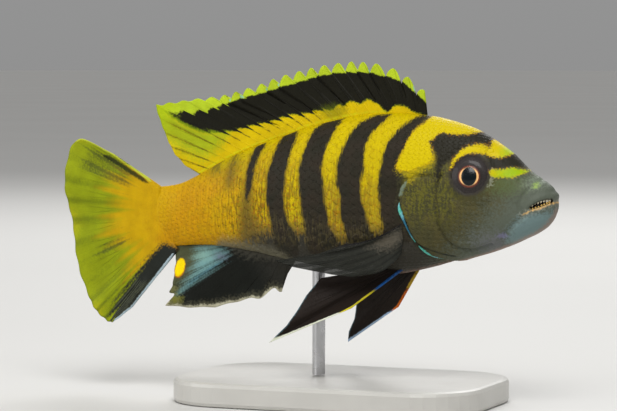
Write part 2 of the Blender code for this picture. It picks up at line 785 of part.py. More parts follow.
def pelvic_fin(side, clearance, collection):
    tips = PELVIC_LEFT_TIPS if side > 0 else PELVIC_RIGHT_TIPS
    root_line = [(s - PELVIC_ROOT_SHIFT * side, -y * side, z + PELVIC_SUNK) for s, y, z in PELVIC_ROOT]
    roots = spread_between(len(tips), root_line)
    shape = Fin(roots, tips, HALF_WAY_COLUMNS, small_notch, (0, 0, 0), RAY)
    fin = fin_sheet("pelvic", shape, collection)
    boolean(fin, clearance, "DIFFERENCE")
    keep_largest(fin)
    return fin


# The stand


def rounded_plate(length, width, corner, steps=8):
    outline = []
    for turn, (sx, sy) in enumerate(((1, 1), (-1, 1), (-1, -1), (1, -1))):
        for i in range(steps + 1):
            angle = math.pi / 2 * (turn + i / steps)
            x = sx * (length / 2 - corner) + corner * math.cos(angle)
            y = sy * (width / 2 - corner) + corner * math.sin(angle)
            outline.append((x * MM, y * MM))
    return outline


def stand_base(collection):
    bm = bmesh.new()
    rim = [bm.verts.new((x, y, 0.0)) for x, y in rounded_plate(BASE_LENGTH, BASE_WIDTH, BASE_CORNER)]
    floor = bm.faces.new(rim)
    raised = bmesh.ops.extrude_face_region(bm, geom=[floor])
    top = [item for item in raised["geom"] if isinstance(item, bmesh.types.BMVert)]
    bmesh.ops.translate(bm, verts=top, vec=(0, 0, BASE_THICKNESS * MM))
    base = mesh_object("stand_base", bm, collection)
    bevel = base.modifiers.new("edge", "BEVEL")
    bevel.width = BASE_EDGE * MM
    bevel.segments = 2
    bevel.limit_method = "ANGLE"
    bevel.angle_limit = math.radians(60)
    return base


def stand_rod(collection):
    """A round rod from the base up to the belly."""
    top = SNOUT_Z + belly_at(ROD_S + ROD_RADIUS) - GAP
    foot = BASE_THICKNESS + GAP
    bm = bmesh.new()
    bmesh.ops.create_cone(
        bm, cap_ends=True, segments=20, radius1=ROD_RADIUS * MM, radius2=ROD_RADIUS * MM, depth=(top - foot) * MM
    )
    bmesh.ops.translate(bm, verts=bm.verts, vec=((SNOUT_X - ROD_S) * MM, 0, (top + foot) / 2 * MM))
    return mesh_object("stand_rod", bm, collection)


def make_materials():
    """Each sub-part's main colour as the fish shows it."""
    dark = (0.035, 0.035, 0.03)
    return {
        "head": new_material("head", (0.19, 0.19, 0.13), 0.45),
        "jaw_upper": new_material("jaw_upper", (0.17, 0.2, 0.19), 0.4),
        "jaw_lower": new_material("jaw_lower", (0.2, 0.26, 0.26), 0.4),
        "trunk": new_material("trunk", (0.62, 0.48, 0.03), 0.45),
        "tail_stem": new_material("tail_stem", (0.6, 0.36, 0.02), 0.45),
        "gill_cover": new_material("gill_cover", (0.12, 0.13, 0.08), 0.4),
        "eye": new_material("eye", (0.01, 0.012, 0.014), 0.08),
        "dorsal": new_material("dorsal", dark, 0.5),
        "anal": new_material("anal", (0.05, 0.06, 0.06), 0.5),
        "tail": new_material("tail", (0.42, 0.42, 0.03), 0.5),
        "pectoral": new_material("pectoral", (0.1, 0.11, 0.1), 0.5),
        "pelvic": new_material("pelvic", dark, 0.5),
        "stand_base": new_material("stand_base", (0.03, 0.03, 0.032), 0.35),
        "stand_rod": new_material("stand_rod", (0.6, 0.6, 0.6), 0.3, 1.0),
    }


def main():
    clear_scene()
    parts = new_collection("cichlid_model")
    cutters = new_collection("cutters", hidden=True)
    materials = make_materials()
    part_flesh(make_flesh(cutters), materials, cutters, parts)
    for side, word in ((1, "left"), (-1, "right")):
        as_node(gill_cover("cover", side, cutters), "gill_cover_" + word, materials["gill_cover"], parts)
        as_node(eyeball("ball", side, 0.0, cutters), "eye_" + word, materials["eye"], parts)
    as_node(dorsal_fin(cutters), "fin_dorsal", materials["dorsal"], parts)
    as_node(anal_fin(cutters), "fin_anal", materials["anal"], parts)
    as_node(tail_fin(cutters), "fin_tail", materials["tail"], parts)
    clearance = body_form("fin_clearance", GAP, cutters)
    for side, word in ((1, "left"), (-1, "right")):
        as_node(pectoral_fin(side, cutters), "fin_pectoral_" + word, materials["pectoral"], parts)
        as_node(pelvic_fin(side, clearance, cutters), "fin_pelvic_" + word, materials["pelvic"], parts)
    remove([clearance])
    as_node(stand_base(cutters), "stand_base", materials["stand_base"], parts)
    as_node(stand_rod(cutters), "stand_rod", materials["stand_rod"], parts)


main()
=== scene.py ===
# %% [markdown]
# # A yellow and black cichlid on its stand
#
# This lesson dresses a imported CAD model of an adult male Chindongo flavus, a rock-dwelling cichlid about
# ten centimetres long. The CAD parts fix every size and place. Here they get a seamless skin, overlapping
# scales, fins with fine rays, eyes, teeth and painted markings.
#
# The fish is drawn in its own coordinates, in millimetres: s runs back from the tip of the snout, y to the
# fish's left and z up from the height of the snout's tip. That is how a fish is measured, and it keeps
# every number readable. One function turns those numbers into the model's metres.

# %% Load the frame
import math

import bmesh
import bpy
import numpy as np
from mathutils import Matrix, Vector


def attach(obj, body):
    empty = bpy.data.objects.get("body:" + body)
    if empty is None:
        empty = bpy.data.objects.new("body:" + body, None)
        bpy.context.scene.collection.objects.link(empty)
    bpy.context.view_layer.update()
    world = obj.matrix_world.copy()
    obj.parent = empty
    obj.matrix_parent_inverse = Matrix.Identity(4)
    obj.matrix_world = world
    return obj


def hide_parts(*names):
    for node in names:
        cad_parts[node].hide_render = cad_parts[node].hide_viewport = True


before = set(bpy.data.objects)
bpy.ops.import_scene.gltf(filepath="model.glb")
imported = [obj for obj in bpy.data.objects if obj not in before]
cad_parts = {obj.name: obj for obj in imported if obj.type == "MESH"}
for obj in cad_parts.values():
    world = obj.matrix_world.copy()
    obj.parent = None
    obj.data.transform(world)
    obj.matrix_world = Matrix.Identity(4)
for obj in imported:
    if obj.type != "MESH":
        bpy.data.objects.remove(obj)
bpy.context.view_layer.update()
MM = 0.001
SNOUT_X, SNOUT_Z = 42.0, 38.7


def place(points):
    """Fish coordinates in millimetres to the model's metres."""
    points = np.asarray(points, float)
    return np.stack([SNOUT_X - points[..., 0], points[..., 1], SNOUT_Z + points[..., 2]], axis=-1) * MM


def unplace(points):
    """The model's metres to fish coordinates in millimetres."""
    points = np.asarray(points, float) / MM
    return np.stack([SNOUT_X - points[..., 0], points[..., 1], points[..., 2] - SNOUT_Z], axis=-1)


# %% [markdown]
# ## Camera, light and floor
# The photo was taken from the fish's right, a little ahead of square on and a little above. A long lens
# half a metre away gives the same mild perspective. Large soft lamps and a pale floor show the form without
# hiding it.

# %% Camera, light and floor
FRAME_WIDTH_PX = 617
MM_PER_PIXEL = 0.187
CAMERA_AZIMUTH, CAMERA_ELEVATION, CAMERA_DISTANCE = math.radians(22), math.radians(3), 0.5
TARGET_S, TARGET_Z = 48.577, -2.307
SENSOR_MM = 36.0

backwards = Vector((
    math.sin(CAMERA_AZIMUTH) * math.cos(CAMERA_ELEVATION),
    -math.cos(CAMERA_AZIMUTH) * math.cos(CAMERA_ELEVATION),
    math.sin(CAMERA_ELEVATION),
))
target = Vector(place((TARGET_S, 0, TARGET_Z)))
camera_data = bpy.data.cameras.new("camera")
camera_data.sensor_fit = "HORIZONTAL"
camera_data.sensor_width = SENSOR_MM
camera_data.lens = SENSOR_MM * CAMERA_DISTANCE / (FRAME_WIDTH_PX * MM_PER_PIXEL * MM)
camera_data.clip_start = 0.01
camera = bpy.data.objects.new("camera", camera_data)
camera.location = target + backwards * CAMERA_DISTANCE
camera.rotation_euler = backwards.to_track_quat("Z", "Y").to_euler()
bpy.context.scene.collection.objects.link(camera)
bpy.context.scene.camera = camera


def soft_lamp(name, spot, size, power):
    """A square area lamp, in metres from the fish, that faces the fish."""
    data = bpy.data.lights.new(name, "AREA")
    data.size = size
    data.energy = power
    lamp = bpy.data.objects.new(name, data)
    lamp.location = target + Vector(spot)
    lamp.rotation_euler = Vector(spot).to_track_quat("Z", "Y").to_euler()
    bpy.context.scene.collection.objects.link(lamp)


soft_lamp("key", (0.2, -0.45, 0.6), 0.4, 4.2)
soft_lamp("fill", (-0.6, -0.5, 0.25), 0.5, 1.8)
soft_lamp("back", (-0.1, 0.6, 0.5), 0.5, 3.0)
SKY_LOW, SKY_HIGH = 0.285, 0.54
world = bpy.data.worlds.new("studio")
world.use_nodes = True
sky = world.node_tree
upward = sky.nodes.new("ShaderNodeSeparateXYZ")
sky.links.new(sky.nodes.new("ShaderNodeTexCoord").outputs["Generated"], upward.inputs[0])
brightness = sky.nodes.new("ShaderNodeMapRange")
brightness.inputs["To Min"].default_value = SKY_LOW
brightness.inputs["To Max"].default_value = SKY_HIGH
sky.links.new(upward.outputs["Z"], brightness.inputs["Value"])
sky.nodes["Background"].inputs["Color"].default_value = (1.0, 1.0, 1.0, 1)
sky.links.new(brightness.outputs["Result"], sky.nodes["Background"].inputs["Strength"])
bpy.context.scene.world = world
bpy.context.scene.view_settings.view_transform = "Standard"
print("lens in millimetres:", round(camera_data.lens, 1))

# %% [markdown]
# ## Smooth curves and the body's form
# A few stations from lips to tail give the body's back, belly, width and widest height. A smooth curve runs
# through each of the four, and every cross-section is the same rounded oval. It is the form the CAD uses,
# so whatever is laid on it meets the fins and eyes.

# %% Curves through named stations
SECTION_UP, SECTION_DOWN = 1.9, 2.15


def curve_through(xs, values):
    """A smooth curve through the points, which also takes arrays."""
    xs, values = np.asarray(xs, float), np.asarray(values, float)
    steps = np.diff(xs)
    slopes = np.diff(values) / steps
    inner = (slopes[:-1] * steps[1:] + slopes[1:] * steps[:-1]) / (steps[:-1] + steps[1:])
    tangents = np.concatenate([slopes[:1], inner, slopes[-1:]])

    def at(x):
        x = np.clip(np.asarray(x, float), xs[0], xs[-1])
        i = np.clip(np.searchsorted(xs, x) - 1, 0, len(xs) - 2)
        u = (x - xs[i]) / steps[i]
        return (
            (2 * u**3 - 3 * u**2 + 1) * values[i] + (u**3 - 2 * u**2 + u) * tangents[i] * steps[i]
            + (3 * u**2 - 2 * u**3) * values[i + 1] + (u**3 - u**2) * tangents[i + 1] * steps[i]
        )

    return at


STATION_S = (0, 0.5, 1.4, 3.3, 6, 8.4, 11, 15, 19, 24.4, 30, 37, 46.3, 52.5, 60, 66, 70.5, 75, 79, 82)
back_at = curve_through(STATION_S, (
    0.2, 1.0, 1.95, 3.4, 5.7, 8.0, 9.85, 12.2, 13.6, 14.8, 15.2, 14.9, 13.1, 11.2, 8.5, 5.9, 3.5, 1.5, 0.9,
    0.9))
belly_at = curve_through(STATION_S, (
    -1.8, -3.35, -4.8, -6.35, -7.7, -8.8, -9.75, -11.0, -12.0, -13.4, -14.6, -14.75, -13.6, -12.6, -11.2,
    -10.45, -10.3, -10.6, -11.2, -11.6))
half_at = curve_through(STATION_S, (
    1.3, 2.1, 3.0, 4.0, 4.65, 5.15, 5.7, 6.35, 6.9, 7.3, 7.5, 7.4, 6.7, 5.8, 4.6, 3.5, 2.8, 2.1, 1.6, 1.3))
widest_at = curve_through(STATION_S, (
    -0.8, -1.0, -1.3, -1.6, -2.0, -2.0, -2.0, -1.9, -1.6, -1.4, -1.1, -1.0, -1.0, -1.2, -1.9, -2.6, -3.3,
    -4.4, -5.0, -5.2))


def section_point(s, angle, grow):
    """A point on the body's surface: angle 0 is the widest line, a quarter turn up is the back."""
    rise, across = np.sin(angle), np.cos(angle)
    power = np.where(rise > 0, SECTION_UP, SECTION_DOWN)
    middle = widest_at(s)
    height = np.where(rise > 0, back_at(s) - middle, middle - belly_at(s)) + grow
    y = (half_at(s) + grow) * np.sign(across) * np.abs(across) ** (2 / power)
    return np.stack([s + 0 * angle, y, middle + height * rise], axis=-1)


def flank_at(s, z):
    """How far the skin is from the middle plane at a place on the fish's side."""
    middle = widest_at(s)
    up = z > middle
    rise = np.where(up, (z - middle) / (back_at(s) - middle), (middle - z) / (middle - belly_at(s)))
    power = np.where(up, SECTION_UP, SECTION_DOWN)
    return half_at(s) * np.clip(1 - rise**2, 0, 1) ** (1 / power)


def flank_normal(s, z, reach=0.3):
    """The way the left flank faces at a place, in fish coordinates."""
    along = (flank_at(s + reach, z) - flank_at(s - reach, z)) / (2 * reach)
    up = (flank_at(s, z + reach) - flank_at(s, z - reach)) / (2 * reach)
    normal = np.stack([-along, np.ones_like(along), -up], axis=-1)
    return normal / np.linalg.norm(normal, axis=-1, keepdims=True)


print("half width behind the gills:", round(float(half_at(30.0)), 2), "mm")

# %% [markdown]
# ## Outlines as named shapes
# Every marking and every edge on the head is a short outline drawn in s and z. Its signed distance,
# negative inside, is stored on the mesh as an attribute. The materials turn that distance into a soft or
# ragged edge, so the skin and the scales over it always carry the same markings.

# %% Signed distance to an outline
def smooth_outline(points, closed=True, steps=6):
    """More points along an outline, on a smooth curve through the given ones."""
    points = np.asarray(points, float)
    count = len(points)
    found = []
    for i in range(count if closed else count - 1):
        if closed:
            before, start, end, after = (points[(i + k) % count] for k in (-1, 0, 1, 2))
        else:
            before, start, end, after = (points[min(max(i + k, 0), count - 1)] for k in (-1, 0, 1, 2))
        for step in range(steps):
            u = step / steps
            found.append(0.5 * (
                2 * start + (end - before) * u + (2 * before - 5 * start + 4 * end - after) * u**2
                + (3 * start - before - 3 * end + after) * u**3
            ))
    if not closed:
        found.append(points[-1])
    return np.array(found)


FAR = 4.0


def close_to(places, line):
    """Which places are near enough to a line's box for their distance to matter."""
    line = np.asarray(line, float)
    return np.all((places > line.min(axis=0) - FAR) & (places < line.max(axis=0) + FAR), axis=1)


def line_distance(places, line):
    """Distance in millimetres from each place to a line of points in s and z, up to a limit."""
    line = np.asarray(line, float)
    near = close_to(places, line)
    some = places[near]
    best = np.full(len(some), FAR)
    for start, end in zip(line[:-1], line[1:]):
        along = end - start
        share = np.clip((some - start) @ along / max(along @ along, 1e-9), 0, 1)
        best = np.minimum(best, np.linalg.norm(some - start - share[:, None] * along, axis=1))
    distance = np.full(len(places), FAR)
    distance[near] = best
    return distance


def outline_distance(places, outline):
    """Signed distance to a closed outline, negative inside, up to the same limit."""
    closed = np.vstack([outline, outline[:1]])
    near = close_to(places, closed)
    some = places[near]
    inside = np.zeros(len(some), bool)
    for (s1, z1), (s2, z2) in zip(closed[:-1], closed[1:]):
        crosses = (z1 > some[:, 1]) != (z2 > some[:, 1])
        with np.errstate(divide="ignore", invalid="ignore"):
            where = (s2 - s1) * (some[:, 1] - z1) / (z2 - z1) + s1
        inside ^= crosses & (some[:, 0] < where)
    distance = np.full(len(places), FAR)
    distance[near] = line_distance(some, closed) * np.where(inside, -1, 1)
    return distance


def curve_distance(places, points):
    """Distance to an open smooth curve through the points."""
    return line_distance(places, smooth_outline(points, closed=False))


def nearest_of(places, outlines):
    """Signed distance to the nearest of several outlines."""
    return np.min([outline_distance(places, smooth_outline(outline)) for outline in outlines], axis=0)


print("one millimetre inside a square:",
      outline_distance(np.array([(11.0, 2.0)]), ((10, 0), (10, 4), (14, 4), (14, 0))))

# %% [markdown]
# ## The markings' outlines
# The bars run down the flank, and the head has its own bands, patches and spots. The edge of the gill cover
# and the fold in front of it are lines, since the skin's relief follows them as well.

# %% The markings of the flank and head
BODY_BARS = (
    ((25.2, 14.9), (26.3, 14.5), (27.4, 13.8), (28.5, 13.0), (29.4, 12.0), (30.2, 10.9), (30.8, 9.8),
     (31.2, 8.6), (31.5, 7.2), (31.7, 5.5), (31.9, 3.5), (32.0, 1.5), (31.7, -0.5), (31.5, -3.0),
     (31.2, -6.0), (31.0, -8.5), (26.0, -8.0), (25.2, -3.0), (25.6, 1.0), (26.6, 2.7), (26.8, 3.9),
     (27.8, 4.6), (28.6, 5.1), (28.5, 6.4), (28.0, 7.7), (27.5, 8.9), (27.0, 10.2), (26.5, 11.4),
     (25.9, 12.4), (25.0, 13.3), (23.8, 14.2), (23.4, 15.0)),
    ((31.8, 15.0), (33.4, 14.95), (34.9, 14.6), (36.3, 13.8), (37.5, 12.9), (38.3, 11.7), (38.9, 10.3),
     (39.5, 9.0), (39.9, 7.7), (40.2, 6.5), (40.4, 5.0), (40.3, 3.5), (40.2, 2.0), (39.6, 0.8),
     (39.4, -1.0), (39.4, -3.5), (38.9, -5.5), (38.4, -8.0), (38.3, -10.0), (32.5, -10.0), (31.8, -8.0),
     (33.4, -6.6), (33.9, -4.8), (34.6, -2.5), (35.2, -0.8), (35.4, 0.8), (35.5, 2.4), (35.2, 3.6),
     (34.9, 4.9), (35.1, 6.5), (35.2, 8.0), (35.0, 9.4), (34.6, 10.6), (34.0, 11.8), (33.0, 12.8),
     (32.5, 13.7), (31.9, 14.4)),
    ((41.1, 14.15), (42.6, 14.15), (44.0, 13.85), (45.4, 13.1), (46.3, 12.2), (46.9, 11.0), (47.1, 10.0),
     (47.3, 9.0), (47.6, 7.8), (48.0, 6.5), (48.2, 5.0), (48.1, 3.5), (48.0, 2.0), (47.8, 0.5),
     (47.6, -1.0), (47.4, -3.0), (47.1, -5.0), (46.9, -7.0), (46.6, -11.0), (41.5, -11.0), (40.3, -8.6),
     (41.3, -6.4), (41.9, -5.0), (42.2, -3.0), (42.6, -1.0), (42.8, 1.0), (43.1, 3.0), (43.5, 4.6),
     (43.3, 6.0), (43.0, 8.3), (42.7, 9.5), (42.3, 10.5), (42.0, 11.5), (41.6, 12.7), (41.3, 13.5)),
    ((50.3, 11.7), (51.2, 12.05), (52.2, 11.85), (53.0, 11.2), (53.35, 10.3), (53.6, 9.3), (53.9, 8.0),
     (54.3, 6.6), (54.5, 5.5), (54.9, 4.0), (55.0, 2.5), (54.9, 0.5), (54.8, -1.5), (54.4, -3.5),
     (54.0, -5.5), (53.8, -8.0), (53.5, -11.5), (49.5, -11.5), (48.6, -8.2), (49.3, -6.7), (50.3, -5.5),
     (50.8, -3.8), (51.1, -2.0), (51.2, 0.0), (51.0, 2.0), (50.9, 4.0), (50.6, 5.3), (50.6, 7.0),
     (50.4, 8.0), (50.1, 9.0), (49.9, 9.9), (50.0, 10.8)),
    ((56.8, 9.5), (57.5, 9.7), (58.3, 9.35), (58.8, 8.6), (59.0, 7.8), (59.25, 6.5), (59.4, 5.0), (59.6, 3.5),
     (59.6, 2.0), (59.6, 0.5), (59.3, -0.8), (58.9, -1.8), (58.6, -0.6), (58.3, 0.5), (58.1, 1.5),
     (58.0, 3.0), (57.9, 4.5), (57.6, 5.8), (57.3, 7.0), (56.9, 8.0), (56.6, 8.8)),
)
FAINT_BARS = (
    ((62.4, 8.0), (62.2, 5.0), (62.8, 1.5), (63.9, 1.5), (64.0, 5.0), (63.6, 7.6)),
    ((58.3, 0.0), (58.2, -3.0), (57.0, -6.5), (55.6, -9.5), (60.6, -9.5), (60.6, -5.0), (60.2, -1.5),
     (59.6, 0.5)),
    ((66.2, 6.0), (66.0, 4.0), (67.6, 3.6), (68.2, 5.4)),
)
NAPE_GOLD = (
    (23.4, 15.0), (21.0, 15.0), (17.0, 14.0), (14.6, 12.9), (13.9, 12.2), (14.7, 11.8), (16.0, 11.55),
    (17.2, 11.35), (18.5, 11.45), (20.0, 11.55), (20.8, 11.7), (21.5, 11.6), (22.0, 11.0), (22.5, 10.4),
    (23.0, 10.0), (22.6, 9.3), (22.3, 8.4), (22.0, 7.6), (22.2, 6.7), (23.2, 6.0), (24.6, 5.4), (26.0, 4.9),
    (27.4, 4.9), (28.4, 5.1), (28.5, 5.9), (28.2, 7.0), (27.6, 8.4), (27.1, 9.9), (26.7, 10.9),
    (26.1, 12.0), (25.4, 12.7), (24.5, 13.5),
)
NAPE_LOW = (
    (21.3, 8.2), (21.4, 6.6), (22.8, 5.2), (24.6, 4.1), (25.8, 2.9), (26.5, 3.2), (27.2, 4.4), (28.3, 4.8),
    (27.6, 6.4), (24.0, 7.6),
)
BROW_GOLD = (
    (18.45, 5.3), (18.4, 6.0), (18.25, 6.7), (17.8, 7.5), (17.1, 8.4), (16.4, 9.0), (15.6, 9.35), (14.3, 9.6),
    (13.4, 9.5), (12.6, 9.15), (12.1, 8.9), (12.0, 9.6), (12.1, 10.4), (11.2, 10.4), (10.2, 9.7), (9.4, 8.9),
    (8.7, 8.3), (8.3, 7.95), (9.2, 7.6), (10.0, 7.3), (10.8, 7.3), (11.6, 7.5), (12.4, 7.8), (13.5, 8.05),
    (14.6, 8.1), (15.5, 8.0), (16.3, 7.75), (17.0, 7.3), (17.6, 6.7), (18.0, 6.1), (18.25, 5.4),
)
SNOUT_GOLD = (
    (11.4, 4.5), (11.2, 5.0), (10.0, 5.05), (9.0, 5.1), (8.0, 5.4), (7.0, 5.25), (6.2, 5.0), (5.4, 4.8),
    (6.1, 4.4), (7.0, 4.0), (8.0, 3.7), (9.0, 3.85), (10.0, 3.8), (11.0, 3.95),
)
NAPE_DARK = (
    (22.9, 10.0), (22.0, 10.9), (21.5, 11.5), (20.0, 11.5), (18.5, 11.4), (17.2, 11.3), (15.5, 11.6),
    (13.8, 12.5), (12.0, 11.6), (10.6, 10.4), (12.2, 10.3), (12.2, 9.2), (13.3, 9.6), (14.4, 9.7),
    (15.8, 9.4), (17.0, 8.6), (17.9, 7.6), (18.6, 6.7), (19.4, 6.3), (20.0, 5.2), (20.4, 3.4), (21.0, 3.0),
    (21.4, 4.4), (21.2, 6.4), (21.6, 7.8), (22.0, 8.6), (22.4, 9.3),
)
BROW_DARK = (
    (12.2, 7.7), (11.4, 7.4), (10.4, 7.2), (9.2, 7.5), (8.2, 8.0), (7.2, 7.6), (6.2, 6.4), (5.6, 5.6),
    (7.0, 5.4), (8.2, 5.5), (9.6, 5.2), (11.0, 5.2), (12.0, 5.4),
)
HEAD_GOLD, HEAD_DARK = (NAPE_GOLD, BROW_GOLD, SNOUT_GOLD), (NAPE_DARK, BROW_DARK)
HEAD_EDGE = (
    (24.4, 16.0), (25.4, 12.4), (26.8, 9.0), (27.6, 5.0), (27.9, 1.8), (28.0, -1.0), (27.2, -4.5),
    (25.8, -7.4), (23.6, -10.2), (21.0, -12.2), (18.0, -14.0),
)
CHIN = ((0.0, -2.5), (1.6, -2.5), (3.2, -2.6), (5.4, -3.2), (7.8, -5.6), (8.6, -8.8), (4.0, -9.0),
        (0.0, -6.0))
BELLY_S = (0, 16, 20, 24, 28, 32, 36, 39.5, 43, 48, 52, 56, 60, 64, 68, 72, 79)
belly_dark_at = curve_through(BELLY_S, (
    -16, -12, -8, -5.6, -5.4, -6.6, -7.8, -8.3, -7.8, -7.0, -7.0, -7.4, -9.4, -11.0, -12, -13, -14))
GILL_EDGE = (
    (22.0, 3.4), (24.6, 3.6), (26.5, 3.0), (27.6, 1.6), (27.9, -0.2), (27.4, -2.3), (26.6, -4.6),
    (25.7, -6.9), (24.2, -9.0), (22.4, -10.6), (20.2, -11.3), (17.6, -11.5), (14.0, -11.2),
)
GILL_LINE = smooth_outline(GILL_EDGE, closed=False)
GILL_COVER = np.vstack([GILL_LINE, [(14.0, 3.4)]])
PREOPERCLE = ((20.1, 4.1), (20.9, 1.5), (20.9, -1.3), (20.3, -5.9), (18.5, -8.6), (15.5, -9.55), (11.5, -8.4))
# The line under the gill cover's lower edge, along which a dark line of painted shade marks the gill slit.
GILL_SHADE_LINE = ((25.3, -8.2), (24.2, -8.9), (22.4, -9.7), (20.4, -10.4), (18.4, -10.8))
print("bars on the flank:", len(BODY_BARS), "outlines on the head:", len(HEAD_GOLD) + len(HEAD_DARK))

# %% [markdown]
# ## Paint as node groups
# A painted layer covers what is under it wherever a stored distance is below zero. The edge has a softness
# and a raggedness in millimetres, and the raggedness comes from a noise that all layers share. It is used
# by nearly every material on the fish, so it is one shader node group with named inputs.

# %% Node helpers
def srgb(red, green, blue):
    """A colour as a painter reads it, 0 to 255, in the linear values that Blender mixes."""
    shares = np.array((red, green, blue)) / 255
    linear = np.where(shares <= 0.04045, shares / 12.92, ((shares + 0.055) / 1.055) ** 2.4)
    return (*[float(value) for value in linear], 1.0)


def set_sockets(tree, node, inputs):
    """Links an input where the value is another node's socket, and sets it otherwise."""
    for key, value in inputs.items():
        if isinstance(value, bpy.types.NodeSocket):
            tree.links.new(value, node.inputs[key])
        else:
            node.inputs[key].default_value = value


def add_node(tree, kind, inputs=None, **settings):
    """A node with its settings made and its inputs linked or set."""
    node = tree.nodes.new(kind)
    for name, value in settings.items():
        setattr(node, name, value)
    set_sockets(tree, node, inputs or {})
    return node


def maths(tree, operation, *values, clamp=False):
    node = add_node(tree, "ShaderNodeMath", dict(enumerate(values)), operation=operation, use_clamp=clamp)
    return node.outputs[0]


def times(tree, first, second):
    return maths(tree, "MULTIPLY", first, second)


def ramp(tree, value, low, high, low_out=0.0, high_out=1.0):
    node = add_node(
        tree, "ShaderNodeMapRange",
        {"Value": value, "From Min": low, "From Max": high, "To Min": low_out, "To Max": high_out},
        interpolation_type="SMOOTHSTEP",
    )
    return node.outputs["Result"]


def mixed(tree, share, under, over, blend="MIX"):
    node = add_node(tree, "ShaderNodeMix", {0: share, 6: under, 7: over}, data_type="RGBA", blend_type=blend)
    return node.outputs[2]


def read(tree, name):
    return add_node(tree, "ShaderNodeAttribute", attribute_name=name).outputs["Fac"]


def new_tree(name, kind, inputs, outputs):
    """A node tree with named sockets, as lists of (name, type) with a value too where it has a default."""
    tree = bpy.data.node_groups.new(name, kind)
    for way, sockets in (("INPUT", inputs), ("OUTPUT", outputs)):
        for label, socket_type, *default in sockets:
            socket = tree.interface.new_socket(label, in_out=way, socket_type="NodeSocket" + socket_type)
            if default:
                socket.default_value = default[0]
    return tree, tree.nodes.new("NodeGroupInput"), tree.nodes.new("NodeGroupOutput")


def use_group(tree, group, **inputs):
    node = add_node(tree, "ShaderNodeGroup", node_tree=group)
    set_sockets(tree, node, {name.capitalize(): value for name, value in inputs.items()})
    return node


print("a painter's yellow in linear values:", srgb(236, 204, 40))

# %% [markdown]
# ## Two shared groups
# One group lays a colour over another by distance. The other makes three fine noises in millimetres, so
# that colour, roughness and relief can follow the same grain.

# %% The painted layer and the fish's fine grain
def painted_layer_group():
    """A colour over another wherever the distance is below zero."""
    tree, entry, leave = new_tree(
        "Painted layer", "ShaderNodeTree",
        [("Under", "Color", (1, 1, 1, 1)), ("Colour", "Color", (0, 0, 0, 1)), ("Distance", "Float", 0.0),
         ("Softness", "Float", 0.5), ("Raggedness", "Float", 0.3), ("Noise", "Float", 0.5),
         ("Strength", "Float", 1.0)],
        [("Colour", "Color")],
    )
    shift = times(tree, maths(tree, "SUBTRACT", entry.outputs["Noise"], 0.5), entry.outputs["Raggedness"])
    ragged = maths(tree, "ADD", entry.outputs["Distance"], times(tree, shift, 2.0))
    share = maths(tree, "DIVIDE", ragged, entry.outputs["Softness"])
    mask = times(tree, ramp(tree, share, 0.5, -0.5), entry.outputs["Strength"])
    colour = mixed(tree, mask, entry.outputs["Under"], entry.outputs["Colour"])
    tree.links.new(colour, leave.inputs["Colour"])
    return tree


def grain_group():
    """Fine noises in millimetres: strokes that stand upright on the flank, grains, and broad blotches."""
    tree, entry, leave = new_tree(
        "Fish grain", "ShaderNodeTree", [("Size", "Float", 1.0)],
        [("Strokes", "Float"), ("Grains", "Float"), ("Blotches", "Float")],
    )
    places = add_node(tree, "ShaderNodeTexCoord").outputs["Object"]
    in_mm = add_node(tree, "ShaderNodeVectorMath", {0: places, "Scale": 1000.0}, operation="SCALE").outputs[0]
    sized = add_node(tree, "ShaderNodeVectorMath", {0: in_mm, "Scale": entry.outputs["Size"]},
                     operation="SCALE").outputs[0]
    upright = add_node(tree, "ShaderNodeMapping", {"Vector": sized, "Scale": (2.9, 1.6, 0.55)}).outputs[0]
    for label, vector, scale, detail in (
        ("Strokes", upright, 1.0, 3.0), ("Grains", sized, 2.6, 2.0), ("Blotches", sized, 0.35, 2.0)
    ):
        noise = add_node(tree, "ShaderNodeTexNoise", {"Vector": vector, "Scale": scale, "Detail": detail})
        tree.links.new(ramp(tree, noise.outputs[0], 0.28, 0.72), leave.inputs[label])
    return tree


PAINTED_LAYER = painted_layer_group()
GRAIN = grain_group()


def new_material(name, roughness, coat=0.0):
    material = bpy.data.materials.new(name)
    material.use_nodes = True
    shader = material.node_tree.nodes["Principled BSDF"]
    shader.inputs["Roughness"].default_value = roughness
    shader.inputs["Coat Weight"].default_value = coat
    return material, material.node_tree, shader


def paint(tree, under, layers, noise):
    """Lays each (attribute, colour, softness, raggedness, strength) over the last."""
    for name, colour, softness, raggedness, strength in layers:
        node = use_group(
            tree, PAINTED_LAYER, under=under, colour=colour, distance=read(tree, name), softness=softness,
            raggedness=raggedness, noise=noise, strength=strength,
        )
        under = node.outputs["Colour"]
    return under


def bump(tree, height, depth_mm, strength):
    inputs = {"Height": height, "Distance": depth_mm * MM, "Strength": strength}
    return add_node(tree, "ShaderNodeBump", inputs).outputs["Normal"]


def fish_grain(tree, size=1.0):
    """The strokes, grains and blotches that a material shares with the others."""
    grain = use_group(tree, GRAIN, size=size)
    return [grain.outputs[label] for label in ("Strokes", "Grains", "Blotches")]


def dress(tree, shader, colour, roughness=None, height=None, depth_mm=0.04, strength=0.5):
    """Links a material's colour and, where they vary, its roughness and its fine relief."""
    tree.links.new(colour, shader.inputs["Base Color"])
    if roughness is not None:
        tree.links.new(roughness, shader.inputs["Roughness"])
    if height is not None:
        tree.links.new(bump(tree, height, depth_mm, strength), shader.inputs["Normal"])


print("node groups:", [group.name for group in (PAINTED_LAYER, GRAIN)])

# %% [markdown]
# ## Mesh helpers
# Each piece ends as a plain mesh whose object sits at the origin, because the export puts it there.
# Attributes are stored on its points for the paint to read.

# %% Mesh helpers
def link(obj):
    bpy.context.scene.collection.objects.link(obj)
    return obj


def shape_from(name, points, faces=(), edges=()):
    """A mesh object from points and lists of corners or edges."""
    mesh = bpy.data.meshes.new(name)
    mesh.from_pydata([tuple(point) for point in points], edges, [tuple(face) for face in faces])
    mesh.update()
    return link(bpy.data.objects.new(name, mesh))


